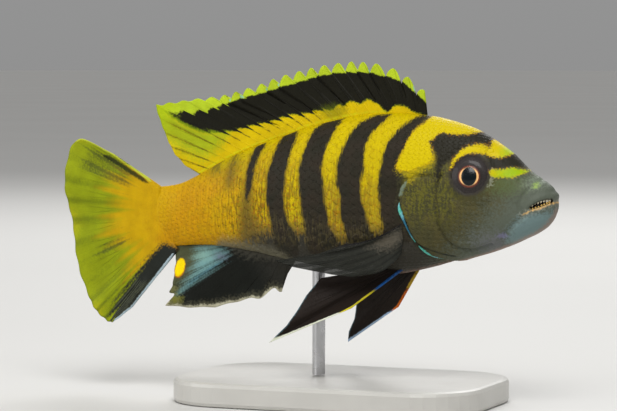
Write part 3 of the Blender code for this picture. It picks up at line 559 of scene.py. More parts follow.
def object_from(name, points, faces, smooth=True):
    """A mesh object from fish coordinates and lists of corners."""
    obj = shape_from(name, place(points), faces)
    if smooth:
        obj.data.shade_smooth()
    return obj


def plain_mesh(obj):
    """The object as its modifiers leave it, as a mesh with no modifiers."""
    bpy.context.view_layer.update()
    graph = bpy.context.evaluated_depsgraph_get()
    mesh = bpy.data.meshes.new_from_object(obj.evaluated_get(graph))
    obj.modifiers.clear()
    obj.data = mesh
    return mesh


def face_out(mesh, weld=False):
    """Turns a closed mesh's faces outwards, after its doubled points are merged where that is asked."""
    bm = bmesh.new()
    bm.from_mesh(mesh)
    if weld:
        bmesh.ops.remove_doubles(bm, verts=bm.verts, dist=0.001 * MM)
    bmesh.ops.recalc_face_normals(bm, faces=bm.faces)
    bm.to_mesh(mesh)
    bm.free()


def raw_points(mesh, what="co"):
    flat = np.empty(len(mesh.vertices) * 3)
    mesh.vertices.foreach_get(what, flat)
    return flat.reshape(-1, 3)


def points_of(mesh):
    return unplace(raw_points(mesh))


def move_points(mesh, points):
    mesh.vertices.foreach_set("co", place(points).ravel())
    mesh.update()


def store(mesh, name, values):
    layer = mesh.attributes.get(name) or mesh.attributes.new(name, "FLOAT", "POINT")
    layer.data.foreach_set("value", np.asarray(values, np.float32))


def ride(piece, slot, *nodes):
    """Every piece rides on the one body; a piece may stand for CAD nodes, which are hidden. slot is not used.
    """
    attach(piece, "root")
    if nodes:
        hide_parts(*nodes)


def face_count(obj):
    return sum(len(face.vertices) - 2 for face in obj.data.polygons)


# %% [markdown]
# ## The skin's raw form
# Real skin has no seams, so the body and both lips are laid over one another as closed shapes and fused
# with a voxel remesh. The mouth, the eye sockets and the nostrils are then cut out of it. The slit of the
# mouth is about one millimetre deep, so that it reads as a dark opening and not as a gap right through.

# %% Closed shapes for the skin
SKIN_UNDER = 0.12
UPPER_LIP_EDGE = (
    (-1.6, -0.4), (0.0, -0.4), (0.7, -0.22), (1.6, -0.2), (2.5, -0.5), (3.5, -1.05), (4.3, -1.65),
    (5.4, -2.55))
LOWER_LIP_EDGE = (
    (-1.6, -0.6), (0.0, -0.6), (0.7, -0.74), (1.6, -1.2), (2.5, -1.55), (3.5, -1.85), (4.3, -2.15),
    (5.4, -2.75))
MOUTH_DEPTH = 0.95
EYE_S, EYE_Z, EYE_RADIUS, EYE_DEPTH, EYE_STANDS_OUT = 15.0, 4.15, 3.7, 2.4, 0.75
NOSTRIL_S, NOSTRIL_Z, NOSTRIL_RADIUS = 6.3, 3.3, 0.42


def loft(name, grow, ring_step=0.6, around=128, start=0.0, end=82.0):
    """The closed body form, grown or shrunk by the same amount everywhere."""
    rings = np.arange(start, end + ring_step / 2, ring_step)
    angles = np.linspace(0, 2 * math.pi, around, endpoint=False)
    points = section_point(rings[:, None], angles[None, :], grow).reshape(-1, 3)
    faces = []
    for i in range(len(rings) - 1):
        for j in range(around):
            k = (j + 1) % around
            faces.append((i * around + j, i * around + k, (i + 1) * around + k, (i + 1) * around + j))
    faces.append(range(around - 1, -1, -1))
    faces.append(range((len(rings) - 1) * around, len(rings) * around))
    obj = object_from(name, points, faces)
    face_out(obj.data)
    return obj


def swept(name, path, radii, around=12):
    """A round bar along a path in fish coordinates, with rounded ends."""
    path = np.asarray(path, float)
    curve = bpy.data.curves.new(name, "CURVE")
    curve.dimensions = "3D"
    curve.bevel_depth = MM
    curve.bevel_resolution = around // 4
    curve.use_fill_caps = True
    spline = curve.splines.new("POLY")
    spline.points.add(len(path) - 1)
    for point, spot, radius in zip(spline.points, place(path), radii):
        point.co = (*spot, 1)
        point.radius = radius
    drawn = link(bpy.data.objects.new(name, curve))
    bpy.context.view_layer.update()
    mesh = bpy.data.meshes.new_from_object(drawn.evaluated_get(bpy.context.evaluated_depsgraph_get()))
    bpy.data.objects.remove(drawn)
    face_out(mesh, weld=True)
    mesh.shade_smooth()
    return link(bpy.data.objects.new(name, mesh))


def lip_path(edge, lift, inset, behind, ends=5.2, front=0.7, steps=14):
    """Points round the snout along one lip, from the left corner of the mouth to the right."""
    height = curve_through(*zip(*edge))
    s = np.linspace(ends, front, steps)
    z = height(s) + lift
    left = np.stack([s + behind, flank_at(s, z) - inset, z], axis=-1)
    tip = np.array([[front - 0.15 + behind, 0.0, float(height(front) + lift)]])
    return np.vstack([left, tip, left[::-1] * (1, -1, 1)])


def lip(name, edge, lift, behind, fat):
    path = lip_path(edge, lift, 0.38, behind)
    share = np.abs(np.linspace(-1, 1, len(path)))
    return swept(name, path, fat * (1 - 0.45 * share**2))


def slab(name, outline, reach):
    """A closed prism from an outline in s and z, right through the fish."""
    count = len(outline)
    near = [(s, -reach, z) for s, z in outline]
    far = [(s, reach, z) for s, z in outline]
    faces = [range(count), range(2 * count - 1, count - 1, -1)]
    faces += [(i, i + count, (i + 1) % count + count, (i + 1) % count) for i in range(count)]
    obj = object_from(name, near + far, faces, smooth=False)
    face_out(obj.data)
    return obj


def eye_matrix(side):
    normal = flank_normal(np.array(EYE_S), np.array(EYE_Z)) * (1, side, 1)
    skin = np.array((EYE_S, float(flank_at(EYE_S, EYE_Z)) * side, EYE_Z))
    middle = place(skin + normal * (EYE_STANDS_OUT - EYE_DEPTH))
    facing = Vector((-normal[0], normal[1], normal[2]))
    return Matrix.Translation(middle) @ facing.to_track_quat("Z", "Y").to_matrix().to_4x4()


def ellipsoid(name, matrix, radius, depth):
    bm = bmesh.new()
    bmesh.ops.create_uvsphere(bm, u_segments=48, v_segments=24, radius=1.0)
    size = Matrix.Diagonal((radius * MM, radius * MM, depth * MM, 1))
    bmesh.ops.transform(bm, matrix=matrix @ size, verts=bm.verts)
    mesh = bpy.data.meshes.new(name)
    bm.to_mesh(mesh)
    bm.free()
    return link(bpy.data.objects.new(name, mesh))


def cut(obj, cutter):
    change = obj.modifiers.new("cut", "BOOLEAN")
    change.operation = "DIFFERENCE"
    change.object = cutter
    change.solver = "MANIFOLD"
    plain_mesh(obj)


def fuse(objects):
    """Several objects as one mesh of overlapping closed shapes."""
    bm = bmesh.new()
    for obj in objects:
        bm.from_mesh(obj.data)
    bm.to_mesh(objects[0].data)
    bm.free()
    for obj in objects[1:]:
        bpy.data.objects.remove(obj)
    return objects[0]


print("mouth", MOUTH_DEPTH, "mm deep, eyes at s", EYE_S, "and z", EYE_Z)

# %% [markdown]
# ## One skin
# A first remesh fuses the overlapping shapes and a second one follows the cuts, so that their edges are
# rounded like the rest.

# %% Fuse and cut the raw skin
VOXEL = 0.25
FIRST_VOXEL = 0.3


def remesh(obj, voxel, rounds):
    change = obj.modifiers.new("remesh", "REMESH")
    change.mode = "VOXEL"
    change.voxel_size = voxel * MM
    calm = obj.modifiers.new("calm", "SMOOTH")
    calm.factor = 0.5
    calm.iterations = rounds
    plain_mesh(obj)


skin = fuse([
    loft("skin", -SKIN_UNDER, start=0.3),
    lip("upper_lip", UPPER_LIP_EDGE, 0.5, 0.22, 0.74),
    lip("lower_lip", LOWER_LIP_EDGE, -0.45, 0.35, 0.64),
])
remesh(skin, FIRST_VOXEL, 4)
mouth = slab("mouth", UPPER_LIP_EDGE + LOWER_LIP_EDGE[::-1], 9)
core = loft("core", -MOUTH_DEPTH, ring_step=1.0, around=48, start=0.8)
cut(mouth, core)
cutters = [mouth]
for side in (1, -1):
    cutters.append(ellipsoid("socket", eye_matrix(side), EYE_RADIUS - 0.1, EYE_DEPTH + 0.12))
    nostril = (NOSTRIL_S, float(flank_at(NOSTRIL_S, NOSTRIL_Z)) * side, NOSTRIL_Z)
    cutters.append(ellipsoid("nostril", Matrix.Translation(place(nostril)), NOSTRIL_RADIUS, NOSTRIL_RADIUS))
for cutter in cutters:
    cut(skin, cutter)
    bpy.data.objects.remove(cutter)
bpy.data.objects.remove(core)
remesh(skin, VOXEL, 3)
print("raw skin:", face_count(skin), "triangles")

# %% [markdown]
# ## The skin's relief
# A remesh leaves small steps, so away from the mouth and eyes every point is set back on the exact
# cross-section. Then the head's forms are raised or sunk along the surface: the free edge of the gill
# cover, the fold of the preopercle, the rim of the eye, the grooves of the jaws, and the pores and tubes
# that a fish feels water with.

# %% Set the points back on the sections
def smooth_step(value, low, high):
    share = np.clip((value - low) / (high - low), 0, 1)
    return share * share * (3 - 2 * share)


def hump(distance, width):
    return np.exp(-((distance / width) ** 2))


def on_section(points, grow):
    """Moves each point in its own cross-section to the surface grown by this much."""
    s, y, z = points.T
    middle = widest_at(s)
    up = z > middle
    height = np.where(up, back_at(s) - middle, middle - belly_at(s)) + grow
    power = np.where(up, SECTION_UP, SECTION_DOWN)
    across = np.abs(y) / (half_at(s) + grow)
    rise = (z - middle) / height
    scale = np.ones_like(s)
    for _ in range(6):
        value = (scale * across) ** power + (scale * rise) ** 2 - 1
        slope = power * across**power * scale ** (power - 1) + 2 * scale * rise**2
        scale = np.clip(scale - value / np.maximum(slope, 1e-6), 0.5, 2)
    return np.stack([s, y * scale, middle + (z - middle) * scale], axis=-1)


def eye_distance(points):
    """Distance from the nearer eye's axis, measured on the flank."""
    return np.hypot(points[:, 0] - EYE_S, points[:, 2] - EYE_Z) + np.where(np.abs(points[:, 1]) < 2.5, 4, 0)


TAIL_ROOT = ((79.8, 5.0), (79.8, 0.9), (80.0, -2.5), (79.5, -6.0), (78.2, -9.0), (76.6, -11.0), (75.4, -13.0))
tail_root_at = curve_through([-z for _, z in TAIL_ROOT], [s for s, _ in TAIL_ROOT])
TAPER_START, TAPER_END, TAPER_HALF = -4.5, 1.4, 0.16


def taper(points):
    """Thins the end of the body to a wedge, so that it runs out on the tail fin."""
    past = points[:, 0] - tail_root_at(-points[:, 2])
    share = smooth_step(past, TAPER_START, TAPER_END)
    thin = points.copy()
    thin[:, 1] *= 1 - share * (1 - TAPER_HALF / 1.5)
    return thin


mesh = skin.data
points = points_of(mesh)
hold = smooth_step(points[:, 0], 5.5, 7.5) * smooth_step(eye_distance(points), 3.9, 4.6)
hold *= smooth_step(np.hypot(points[:, 0] - NOSTRIL_S, points[:, 2] - NOSTRIL_Z), 0.8, 1.2)
hold *= 1 - smooth_step(points[:, 0], 80.5, 81.0)
points += (on_section(points, -SKIN_UNDER) - points) * hold[:, None]
points = taper(points)
move_points(mesh, points)
print("points set back on the sections:", int((hold > 0.5).sum()), "of", len(hold))

# %% [markdown]
# ## The head's forms
# Every form is a height in millimetres that depends on a distance from a line or a place. The heights are
# added up, and the points are moved along the surface's normals.

# %% Raise and sink the head's forms
SNOUT_ROLL = 0.3
FACE_PORES = ((4.2, 1.2), (6.6, -0.9), (8.6, -2.4), (10.9, -3.2), (13.6, -3.1), (16.4, -1.9), (5.9, 5.0),
              (9.3, 6.6), (19.3, 2.4), (12.0, -7.6), (15.4, -8.6), (8.8, -6.4))
HEAD_GROOVES = (
    (((5.3, -2.7), (6.0, -1.3), (5.4, 0.4), (4.2, 1.9), (3.0, 2.9)), 0.24, 0.4),
    (((5.2, -3.1), (6.4, -4.2), (8.2, -6.0), (10.2, -8.2)), 0.26, 0.4),
    (((11.0, -0.6), (13.0, -1.6), (16.0, -1.2), (18.3, 0.8)), 0.14, 0.6),
)


def relief(points):
    """How far the surface is raised at each place, in millimetres."""
    s, y, z = points.T
    places = np.stack([s, z], axis=-1)
    near = (s < 34) & (s > 1)
    height = np.zeros(len(s))
    head = places[near]
    gap = line_distance(head, GILL_LINE)
    behind = np.where(outline_distance(head, GILL_COVER) < 0, -gap, gap)
    fades = smooth_step(head[:, 0], 14.5, 19.0)
    cover = 0.32 * np.exp(-np.clip(-behind, 0, None) / 2.2) * (behind < 0)
    ditch = -0.5 * np.exp(-np.clip(behind, 0, None) / 0.8) * (behind >= 0)
    head_height = (cover + ditch) * fades
    fold = curve_distance(head, PREOPERCLE)
    head_height += -0.34 * hump(fold, 0.32) + 0.12 * hump(fold - 0.8, 0.6)
    eye = np.hypot(head[:, 0] - EYE_S, head[:, 1] - EYE_Z)
    head_height += 0.14 * hump(eye - 3.8, 0.4) - 0.1 * hump(eye - 5.0, 0.6)
    for line, depth, width in HEAD_GROOVES:
        head_height -= depth * hump(curve_distance(head, line), width) * smooth_step(head[:, 0], 2.4, 3.4)
    for pore in FACE_PORES:
        head_height += -0.14 * hump(np.hypot(head[:, 0] - pore[0], head[:, 1] - pore[1]), 0.2)
    height[near] = head_height
    return height


mesh.update()
normals = raw_points(mesh, "normal") * (-1, 1, 1)
height = relief(points)
height[points[:, 0] < 2.6] *= 0.3
snout_roll = smooth_step(points[:, 0], 0.4, 1.5) * (1 - smooth_step(points[:, 0], 2.8, 5.2))
height += SNOUT_ROLL * snout_roll * smooth_step(points[:, 2], 0.5, 1.5)
skin_points = points + normals * height[:, None]
move_points(mesh, skin_points)
print("relief runs from", round(float(height.min()), 2), "to", round(float(height.max()), 2), "mm")

# %% [markdown]
# ## The colours of the skin
# The ground colour is a clear yellow that deepens to orange towards the tail. Five charcoal bars cross it,
# the belly is smoky, and the head is olive and slate with yellow and black bands. Each is one layer of
# paint, and the same attributes are stored on the skin and on the scales.

# %% Store the markings on a mesh
def store_ground(mesh, points):
    """What the yellow ground needs: how far back, how high, and how worn with brown strokes."""
    s, _, z = points.T
    store(mesh, "rear", 60.0 - s)
    store(mesh, "height", z)
    store(mesh, "near_tail", 75.5 - s - 0.5 * z)
    low = smooth_step(3.5 - z, 0, 9) * (1 - smooth_step(s, 58, 66))
    middle = smooth_step(8 - z, 0, 6) * smooth_step(s, 30, 36) * (1 - smooth_step(s, 60, 68))
    hind = smooth_step(s, 43, 56) * (1 - 0.6 * smooth_step(s, 64, 72))
    store(mesh, "worn", 0.18 + 0.55 * middle + 0.45 * low + 0.25 * hind)
    store(mesh, "low_dull", np.maximum(z - 2.0, s - 44.0))


def store_markings(mesh, points):
    s, y, z = points.T
    places = np.stack([s, z], axis=-1)
    store_ground(mesh, points)
    store(mesh, "belly", z - belly_dark_at(s))
    behind_nape = (smooth_step(29.5 - s, 0, 1.5) + smooth_step(widest_at(s) + 3 - z, 0, 1)
                   + smooth_step(s, 62, 68))
    store(mesh, "back_line", np.abs(y) - 0.8 + 5 * behind_nape)
    store(mesh, "bars", nearest_of(places, BODY_BARS))
    store(mesh, "faint", nearest_of(places, FAINT_BARS))
    store(mesh, "back_glow", back_at(s) - z - 1.6 + 4 * smooth_step(56 - s, 0, 5)
          + 4 * smooth_step(s, 66, 72))
    above_belly = z - belly_dark_at(s)
    streaked = smooth_step(s, 29, 34) * (1 - smooth_step(s, 60, 65))
    store(mesh, "belly_streak", streaked * smooth_step(above_belly, -4.5, -0.5)
          * (1 - smooth_step(above_belly, 1.0, 5.0)))
    store(mesh, "fin_haze", z - belly_at(s) - 1.7 + 3 * smooth_step(54 - s, 0, 6)
          + 3 * smooth_step(s, 65, 69))
    edge = smooth_outline(HEAD_EDGE, closed=False)
    region = np.vstack([edge, [(-10.0, -14.0), (-10.0, 16.0)]])
    store(mesh, "head", outline_distance(places, region))
    gold = nearest_of(places, HEAD_GOLD)
    store(mesh, "gold", gold)
    store(mesh, "brow_green", np.maximum(6 * gold, np.hypot(s - 9.2, z - 8.4) - 1.0))
    store(mesh, "gold_low", outline_distance(places, smooth_outline(NAPE_LOW)))
    snout_bar = outline_distance(places, smooth_outline(SNOUT_GOLD))
    store(mesh, "lime", np.maximum(6 * snout_bar, s - 10.4))
    store(mesh, "mask", nearest_of(places, HEAD_DARK))
    store(mesh, "slate", s - 11.0 + 0.6 * np.clip(z + 2, 0, 6) + 1.0 * np.clip(z + 2, -10, 0))
    store(mesh, "speckle", smooth_step(s, 14.5, 20) * smooth_step(z, -7.5, -1) * (1 - smooth_step(z, 5, 7)))
    store(mesh, "brow_patch", np.hypot(s - 3.5, z - 2.3) - 0.45)
    store(mesh, "chin", outline_distance(places, smooth_outline(CHIN)))
    store(mesh, "orbit", np.hypot(s - EYE_S, z - EYE_Z) - 3.8)
    ahead = np.hypot(s - EYE_S - 0.6, z - EYE_Z) - 4.7
    store(mesh, "eye_front", np.abs(ahead) - 0.3 + 2 * smooth_step(np.abs(z - 3.6), 1.4, 3.0)
          + 2 * smooth_step(s, 12, 13))
    store(mesh, "lip_line", line_distance(places, [(s0, z0 - 0.2) for s0, z0 in LOWER_LIP_EDGE]) - 0.12)
    # Painted shade: a dark line in the gill slit under the cover's lower edge.
    store(mesh, "gill_gap_shade", curve_distance(places, GILL_SHADE_LINE) - 0.12)
    store(mesh, "flap", np.abs(outline_distance(places, GILL_COVER) + 0.3) - 0.35
          + 3 * smooth_step(-z, -0.5, 1.5) + 3 * smooth_step(-s, -26.6, -25.4))
    # Painted shade: a dark line along the preopercle's fold, in its crease.
    store(mesh, "fold", curve_distance(places, PREOPERCLE) - 0.16)
    store(mesh, "lavender", np.hypot((s - 9.3) / 1.8, z + 6.8) - 0.42)
    store(mesh, "jowl", np.hypot((s - 11.0) / 1.6, z + 8.4) - 1.6)
    store(mesh, "snout_pale", np.hypot((s - 3.6) * 0.8, z - 2.8) - 0.9)
    store(mesh, "snout_green", np.hypot((s - 8.5) / 1.7, z - 2.6) - 1.9)
    store(mesh, "chin_rim", np.maximum(z - belly_at(s) - 0.75 + 0.02 * s, np.abs(y) - 1.7))


store_markings(mesh, skin_points)
# The mouth slit's inner wall, stored as mouth, is painted near black as painted shade.
lower_edge_at = curve_through(*zip(*LOWER_LIP_EDGE))
upper_edge_at = curve_through(*zip(*UPPER_LIP_EDGE))
axis = np.stack([points[:, 0], 0 * points[:, 0], widest_at(points[:, 0])], axis=-1)
sunk = np.linalg.norm(on_section(points, -SKIN_UNDER) - axis, axis=1) - np.linalg.norm(points - axis, axis=1)
sunk[points[:, 0] < 0.8] = 0.0
sunk += smooth_step(points[:, 0], 0.5, 0.7) * (points[:, 0] < 0.8)
level = np.maximum(points[:, 2] - upper_edge_at(points[:, 0]), lower_edge_at(points[:, 0]) - points[:, 2])
store(mesh, "mouth", np.maximum(np.maximum(0.3 - sunk, level - 0.25), points[:, 0] - 5.2))
print("attributes on the skin:", len(mesh.attributes))

# %% [markdown]
# ## The skin's paint
# The ground and its brown strokes come first. The markings follow as layers of paint, each laid over the
# ones before.

# %% The skin's material
YELLOW, ORANGE = srgb(204, 182, 0), srgb(198, 145, 2)
CHARCOAL, SMOKE = srgb(40, 38, 29), srgb(55, 53, 46)
OLIVE, MOTTLE, SLATE, CHIN_GREY = srgb(65, 64, 41), srgb(116, 112, 32), srgb(90, 97, 86), srgb(112, 134, 134)
# MOUTH_SHADE is painted shade, near black inside the mouth's slit.
PEACH, MOUTH_SHADE = srgb(212, 168, 98), srgb(14, 8, 7)
SKIN_SPECULAR = 0.09


def yellow_ground(tree, strokes, grains, blotches):
    """The yellow that deepens to orange, with the fine brown strokes that wear it low down and behind."""
    ground = mixed(tree, times(tree, blotches, 0.3), YELLOW, srgb(186, 160, 4))
    ground = paint(tree, ground, [("rear", ORANGE, 30.0, 4.0, 1.0)], blotches)
    upper = times(tree, ramp(tree, read(tree, "height"), 0.0, 6.0), ramp(tree, read(tree, "rear"), 8.0, -2.0))
    ground = mixed(tree, times(tree, upper, 0.55), ground, srgb(158, 146, 22))
    brown = times(tree, ramp(tree, strokes, 0.1, 0.95), read(tree, "worn"))
    ground = mixed(tree, times(tree, brown, 0.88), ground, srgb(124, 102, 18))
    ground = paint(tree, ground, [
        ("low_dull", srgb(140, 116, 34), 5.0, 1.6, 0.45),
        ("near_tail", srgb(204, 166, 4), 9.0, 1.0, 0.75),
    ], blotches)
    fleck = times(tree, ramp(tree, grains, 0.5, 0.9),
                  maths(tree, "MULTIPLY_ADD", read(tree, "worn"), 0.36, 0.08))
    return mixed(tree, fleck, ground, srgb(168, 104, 4))


def skin_material(name, scaled):
    """The fish's paint; on scales the free edges are also a little darker than the middles, as painted shade
    where each scale overlaps the next.
    """
    material, tree, shader = new_material(name, 0.42)
    shader.inputs["Specular IOR Level"].default_value = SKIN_SPECULAR
    strokes, grains, blotches = fish_grain(tree)
    warm_black = mixed(tree, times(tree, blotches, 0.35), CHARCOAL, srgb(58, 46, 38))
    ground = paint(tree, yellow_ground(tree, strokes, grains, blotches), [
        ("back_glow", srgb(190, 172, 2), 3.0, 0.8, 0.8),
        ("faint", srgb(92, 78, 34), 2.6, 0.9, 0.8),
        ("bars", srgb(132, 112, 14), 1.7, 0.5, 0.5),
        ("belly", srgb(108, 88, 38), 7.0, 1.8, 0.8),
        ("belly", SMOKE, 3.4, 1.2, 1.0),
        ("bars", warm_black, 0.75, 0.25, 1.0),
        ("fin_haze", srgb(116, 112, 92), 2.6, 0.5, 0.8),
        ("back_line", YELLOW, 0.6, 0.2, 0.85),
    ], strokes)
    streak = times(tree, ramp(tree, strokes, 0.2, 1.0), read(tree, "belly_streak"))
    ground = mixed(tree, times(tree, streak, 0.26), ground, srgb(120, 108, 66))
    ground = paint(tree, ground, [("head", OLIVE, 1.6, 0.6, 1.0)], grains)
    in_head = ramp(tree, read(tree, "head"), 0.2, -1.2)
    warm = times(tree, in_head, times(tree, blotches, 0.55))
    head = mixed(tree, warm, ground, srgb(88, 80, 46))
    dots = times(tree, ramp(tree, maths(tree, "ADD", grains, strokes), 0.6, 1.5), read(tree, "speckle"))
    head = mixed(tree, times(tree, times(tree, dots, in_head), 0.5), head, MOTTLE)
    colour = paint(tree, head, [
        ("slate", SLATE, 10.0, 2.0, 0.9),
        ("snout_green", srgb(84, 98, 50), 3.0, 0.8, 0.55),
        ("snout_pale", srgb(132, 144, 126), 2.6, 0.6, 0.6),
        ("jowl", srgb(112, 112, 118), 4.0, 1.0, 0.6),
        ("chin", CHIN_GREY, 2.2, 0.6, 0.9),
        ("chin_rim", srgb(150, 106, 82), 1.3, 0.3, 0.55),
        ("lavender", srgb(126, 122, 158), 0.8, 0.2, 0.6),
        ("brow_patch", srgb(150, 176, 88), 1.0, 0.25, 0.85),
        # Painted shade in the crease of the preopercle's fold.
        ("fold", srgb(40, 38, 30), 0.5, 0.1, 0.22),
        ("gold_low", srgb(176, 158, 10), 2.0, 0.6, 0.9),
        ("mask", CHARCOAL, 0.9, 0.3, 1.0),
        ("orbit", srgb(52, 48, 45), 0.8, 0.1, 0.9),
        ("eye_front", srgb(146, 148, 128), 0.5, 0.35, 0.6),
        ("gold", srgb(188, 122, 12), 0.9, 0.4, 0.55),
        ("gold", YELLOW, 0.55, 0.2, 1.0),
        ("brow_green", srgb(146, 188, 40), 2.2, 0.4, 0.7),
        ("lime", srgb(142, 182, 14), 4.5, 0.4, 0.85),
        ("flap", srgb(118, 134, 116), 0.5, 0.1, 0.7),
        # Painted shade: the dark line in the gill slit.
        ("gill_gap_shade", srgb(12, 20, 18), 0.3, 0.05, 0.9),
        ("lip_line", srgb(162, 156, 136), 1.5, 0.4, 0.7),
        ("lip_line", PEACH, 0.3, 0.1, 0.9),
    ], grains)
    if scaled:
        # Painted shade: each scale's free edge is darkened where it overlaps the next.
        rim = times(tree, ramp(tree, read(tree, "margin"), 0.72, 1.0), 0.14)
        colour = mixed(tree, rim, colour, mixed(tree, 1.0, colour, srgb(190, 150, 90), "MULTIPLY"))
    else:
        # Painted shade: the inner wall of the mouth's slit is painted near black.
        colour = paint(tree, colour, [("mouth", MOUTH_SHADE, 0.6, 0.0, 1.0)], grains)
    rough = maths(tree, "MULTIPLY_ADD", blotches, 0.14, 0.36)
    dress(tree, shader, colour, rough, maths(tree, "ADD", grains, strokes))
    return material


skin.data.materials.clear()
skin.data.materials.append(skin_material("skin", scaled=False))
skin.data.shade_smooth()
ride(skin, "trunk", "head", "jaw_upper", "jaw_lower", "trunk", "tail_stem", "gill_cover_left",
     "gill_cover_right")
print("skin:", face_count(skin), "triangles")

# %% [markdown]
# ## Gill membranes
# A turquoise skin shows along the free edge of each gill cover. It is a soft rim, so it is swept as a tube
# whose thickness swells and fades along the edge.

# %% Gill membranes
MEMBRANES = (
    ((27.7, -0.7, 0.08), (27.85, -1.6, 0.26), (27.7, -2.5, 0.4), (27.3, -3.5, 0.36), (26.9, -4.6, 0.24),
     (26.4, -5.9, 0.17), (25.8, -7.2, 0.14), (25.2, -8.2, 0.06)),
    ((24.7, -8.9, 0.08), (24.1, -9.5, 0.24), (23.2, -10.2, 0.34), (22.1, -10.75, 0.3), (20.9, -11.15, 0.2),
     (19.7, -11.4, 0.07)),
)
MEMBRANE_SUNK = 0.2
TURQUOISE = srgb(90, 196, 165)


def membrane_material():
    material, tree, shader = new_material("gill_membrane", 0.35)
    strokes, grains, blotches = fish_grain(tree, 1.6)
    colour = mixed(tree, grains, TURQUOISE, srgb(60, 150, 150))
    colour = mixed(tree, ramp(tree, blotches, 0.5, 0.9, 0.0, 0.6), colour, srgb(120, 176, 196))
    colour = paint(tree, colour, [("blue_part", srgb(14, 82, 126), 1.4, 0.3, 0.85)], grains)
    dress(tree, shader, colour, height=strokes)
    return material


membrane_paint = membrane_material()
for side, word in ((1, "left"), (-1, "right")):
    rims = []
    for line in MEMBRANES:
        s, z, fat = smooth_outline(line, closed=False, steps=5).T
        path = np.stack([s, (flank_at(s, z) - MEMBRANE_SUNK) * side, z], axis=-1)
        rims.append(swept("membrane", path, fat))
    rim = fuse(rims)
    rim.name = "gill_membrane_" + word
    rim.data.materials.append(membrane_paint)
    store(rim.data, "blue_part", np.abs(points_of(rim.data)[:, 2] + 5.4) - 1.6)
    ride(rim, "gill_cover")
    print(rim.name, face_count(rim), "triangles")

# %% [markdown]
# ## Copies on points
# Scales and teeth are one small shape repeated many times. A Geometry Nodes tree sets a copy on each point,
# with its turn and size read from attributes, and realizes the copies so that they can be exported as a
# plain mesh.

# %% The tree that sets copies on points
def end_tree(tree, made, entry, leave):
    """Makes what a tree made real and gives it its material."""
    real = add_node(tree, "GeometryNodeRealizeInstances", {"Geometry": made})
    finish = add_node(tree, "GeometryNodeSetMaterial", {
        "Geometry": real.outputs["Geometry"], "Material": entry.outputs["Material"]})
    tree.links.new(finish.outputs["Geometry"], leave.inputs["Geometry"])
    return tree


def copies_tree():
    tree, entry, leave = new_tree(
        "Copies on points", "GeometryNodeTree",
        [("Geometry", "Geometry"), ("Copy", "Object"), ("Size", "Float", 1.0), ("Material", "Material")],
        [("Geometry", "Geometry")],
    )
    shape = add_node(tree, "GeometryNodeObjectInfo", {"Object": entry.outputs["Copy"]})
    turn = add_node(tree, "GeometryNodeInputNamedAttribute", {"Name": "turn"}, data_type="FLOAT_VECTOR")
    scale = add_node(tree, "GeometryNodeInputNamedAttribute", {"Name": "size"}, data_type="FLOAT_VECTOR")
    sized = add_node(
        tree, "ShaderNodeVectorMath", {0: scale.outputs[0], "Scale": entry.outputs["Size"]}, operation="SCALE"
    )
    set_copies = add_node(tree, "GeometryNodeInstanceOnPoints", {
        "Points": entry.outputs["Geometry"], "Instance": shape.outputs["Geometry"],
        "Rotation": turn.outputs[0], "Scale": sized.outputs[0],
    })
    return end_tree(tree, set_copies.outputs["Instances"], entry, leave)


COPIES = copies_tree()


def set_inputs(modifier, **values):
    """Sets a Geometry Nodes modifier's inputs by their sockets' identifiers."""
    for item in modifier.node_group.interface.items_tree:
        if item.item_type == "SOCKET" and item.in_out == "INPUT" and item.name.lower() in values:
            modifier[item.identifier] = values[item.name.lower()]


def copies_on(name, spots, turns, sizes, copy, material, size=1.0):
    """One mesh with a copy of the shape on each spot."""
    obj = shape_from(name, spots)
    for label, values in (("turn", turns), ("size", sizes)):
        layer = obj.data.attributes.new(label, "FLOAT_VECTOR", "POINT")
        layer.data.foreach_set("vector", np.asarray(values, np.float32).ravel())
    modifier = obj.modifiers.new("copies", "NODES")
    modifier.node_group = COPIES
    set_inputs(modifier, copy=copy, size=size, material=material)
    plain_mesh(obj)
    return obj


print("nodes in the copies tree:", len(COPIES.nodes))

# %% [markdown]
# ## Scales
# A cichlid's scales lie in rows along the flank, each overlapping the next like roof tiles. They are laid
# out flat first, on a map of the flank whose axes are s and the distance round the body from its widest
# line. The Geometry Nodes tree sets a scale on every point of that map, and the map is then wrapped round
# the body. The map also gives each scale its own small patch of the OFBake unwrap.

# %% The map of the flank
MAP_ANGLES = np.linspace(0, math.pi / 2, 90)
MAP_STEP = 0.5
MAP_RINGS = np.arange(0, 82 + MAP_STEP, MAP_STEP)


def arc_table(sign):
    """Distance round each ring from the widest line, up for sign 1 and down for sign -1."""
    points = section_point(MAP_RINGS[:, None], sign * MAP_ANGLES[None, :], 0.0)
    steps = np.linalg.norm(np.diff(points, axis=1), axis=2)
    return np.concatenate([np.zeros((len(MAP_RINGS), 1)), np.cumsum(steps, axis=1)], axis=1)


ARC_UP, ARC_DOWN = arc_table(1), arc_table(-1)


def arc_length(s, up):
    table = np.where(up[:, None], ARC_UP[:, -1][None, :], ARC_DOWN[:, -1][None, :])
    ring = np.clip(s / MAP_STEP, 0, len(MAP_RINGS) - 1.001)
    low = ring.astype(int)
    share = ring - low
    rows = np.arange(len(s))
    return table[rows, low] * (1 - share) + table[rows, low + 1] * share


def wrap(s, round_body, lift):
    """From the map of the flank to fish coordinates on the left side, lifted off the surface."""
    up = round_body > 0
    share = np.clip(np.abs(round_body) / arc_length(s, up), 0, 1)
    ring = np.clip(np.round(s / MAP_STEP), 0, len(MAP_RINGS) - 1).astype(int)
    angle = np.empty_like(s)
    for sign, table in ((True, ARC_UP), (False, ARC_DOWN)):
        for index in np.unique(ring[up == sign]):
            chosen = (ring == index) & (up == sign)
            angle[chosen] = np.interp(share[chosen], table[index] / table[index, -1], MAP_ANGLES)
    angle = np.where(up, angle, -angle)
    return section_point(s, angle, lift)


print("longest way from widest line to back:", round(float(ARC_UP[:, -1].max()), 1), "mm")

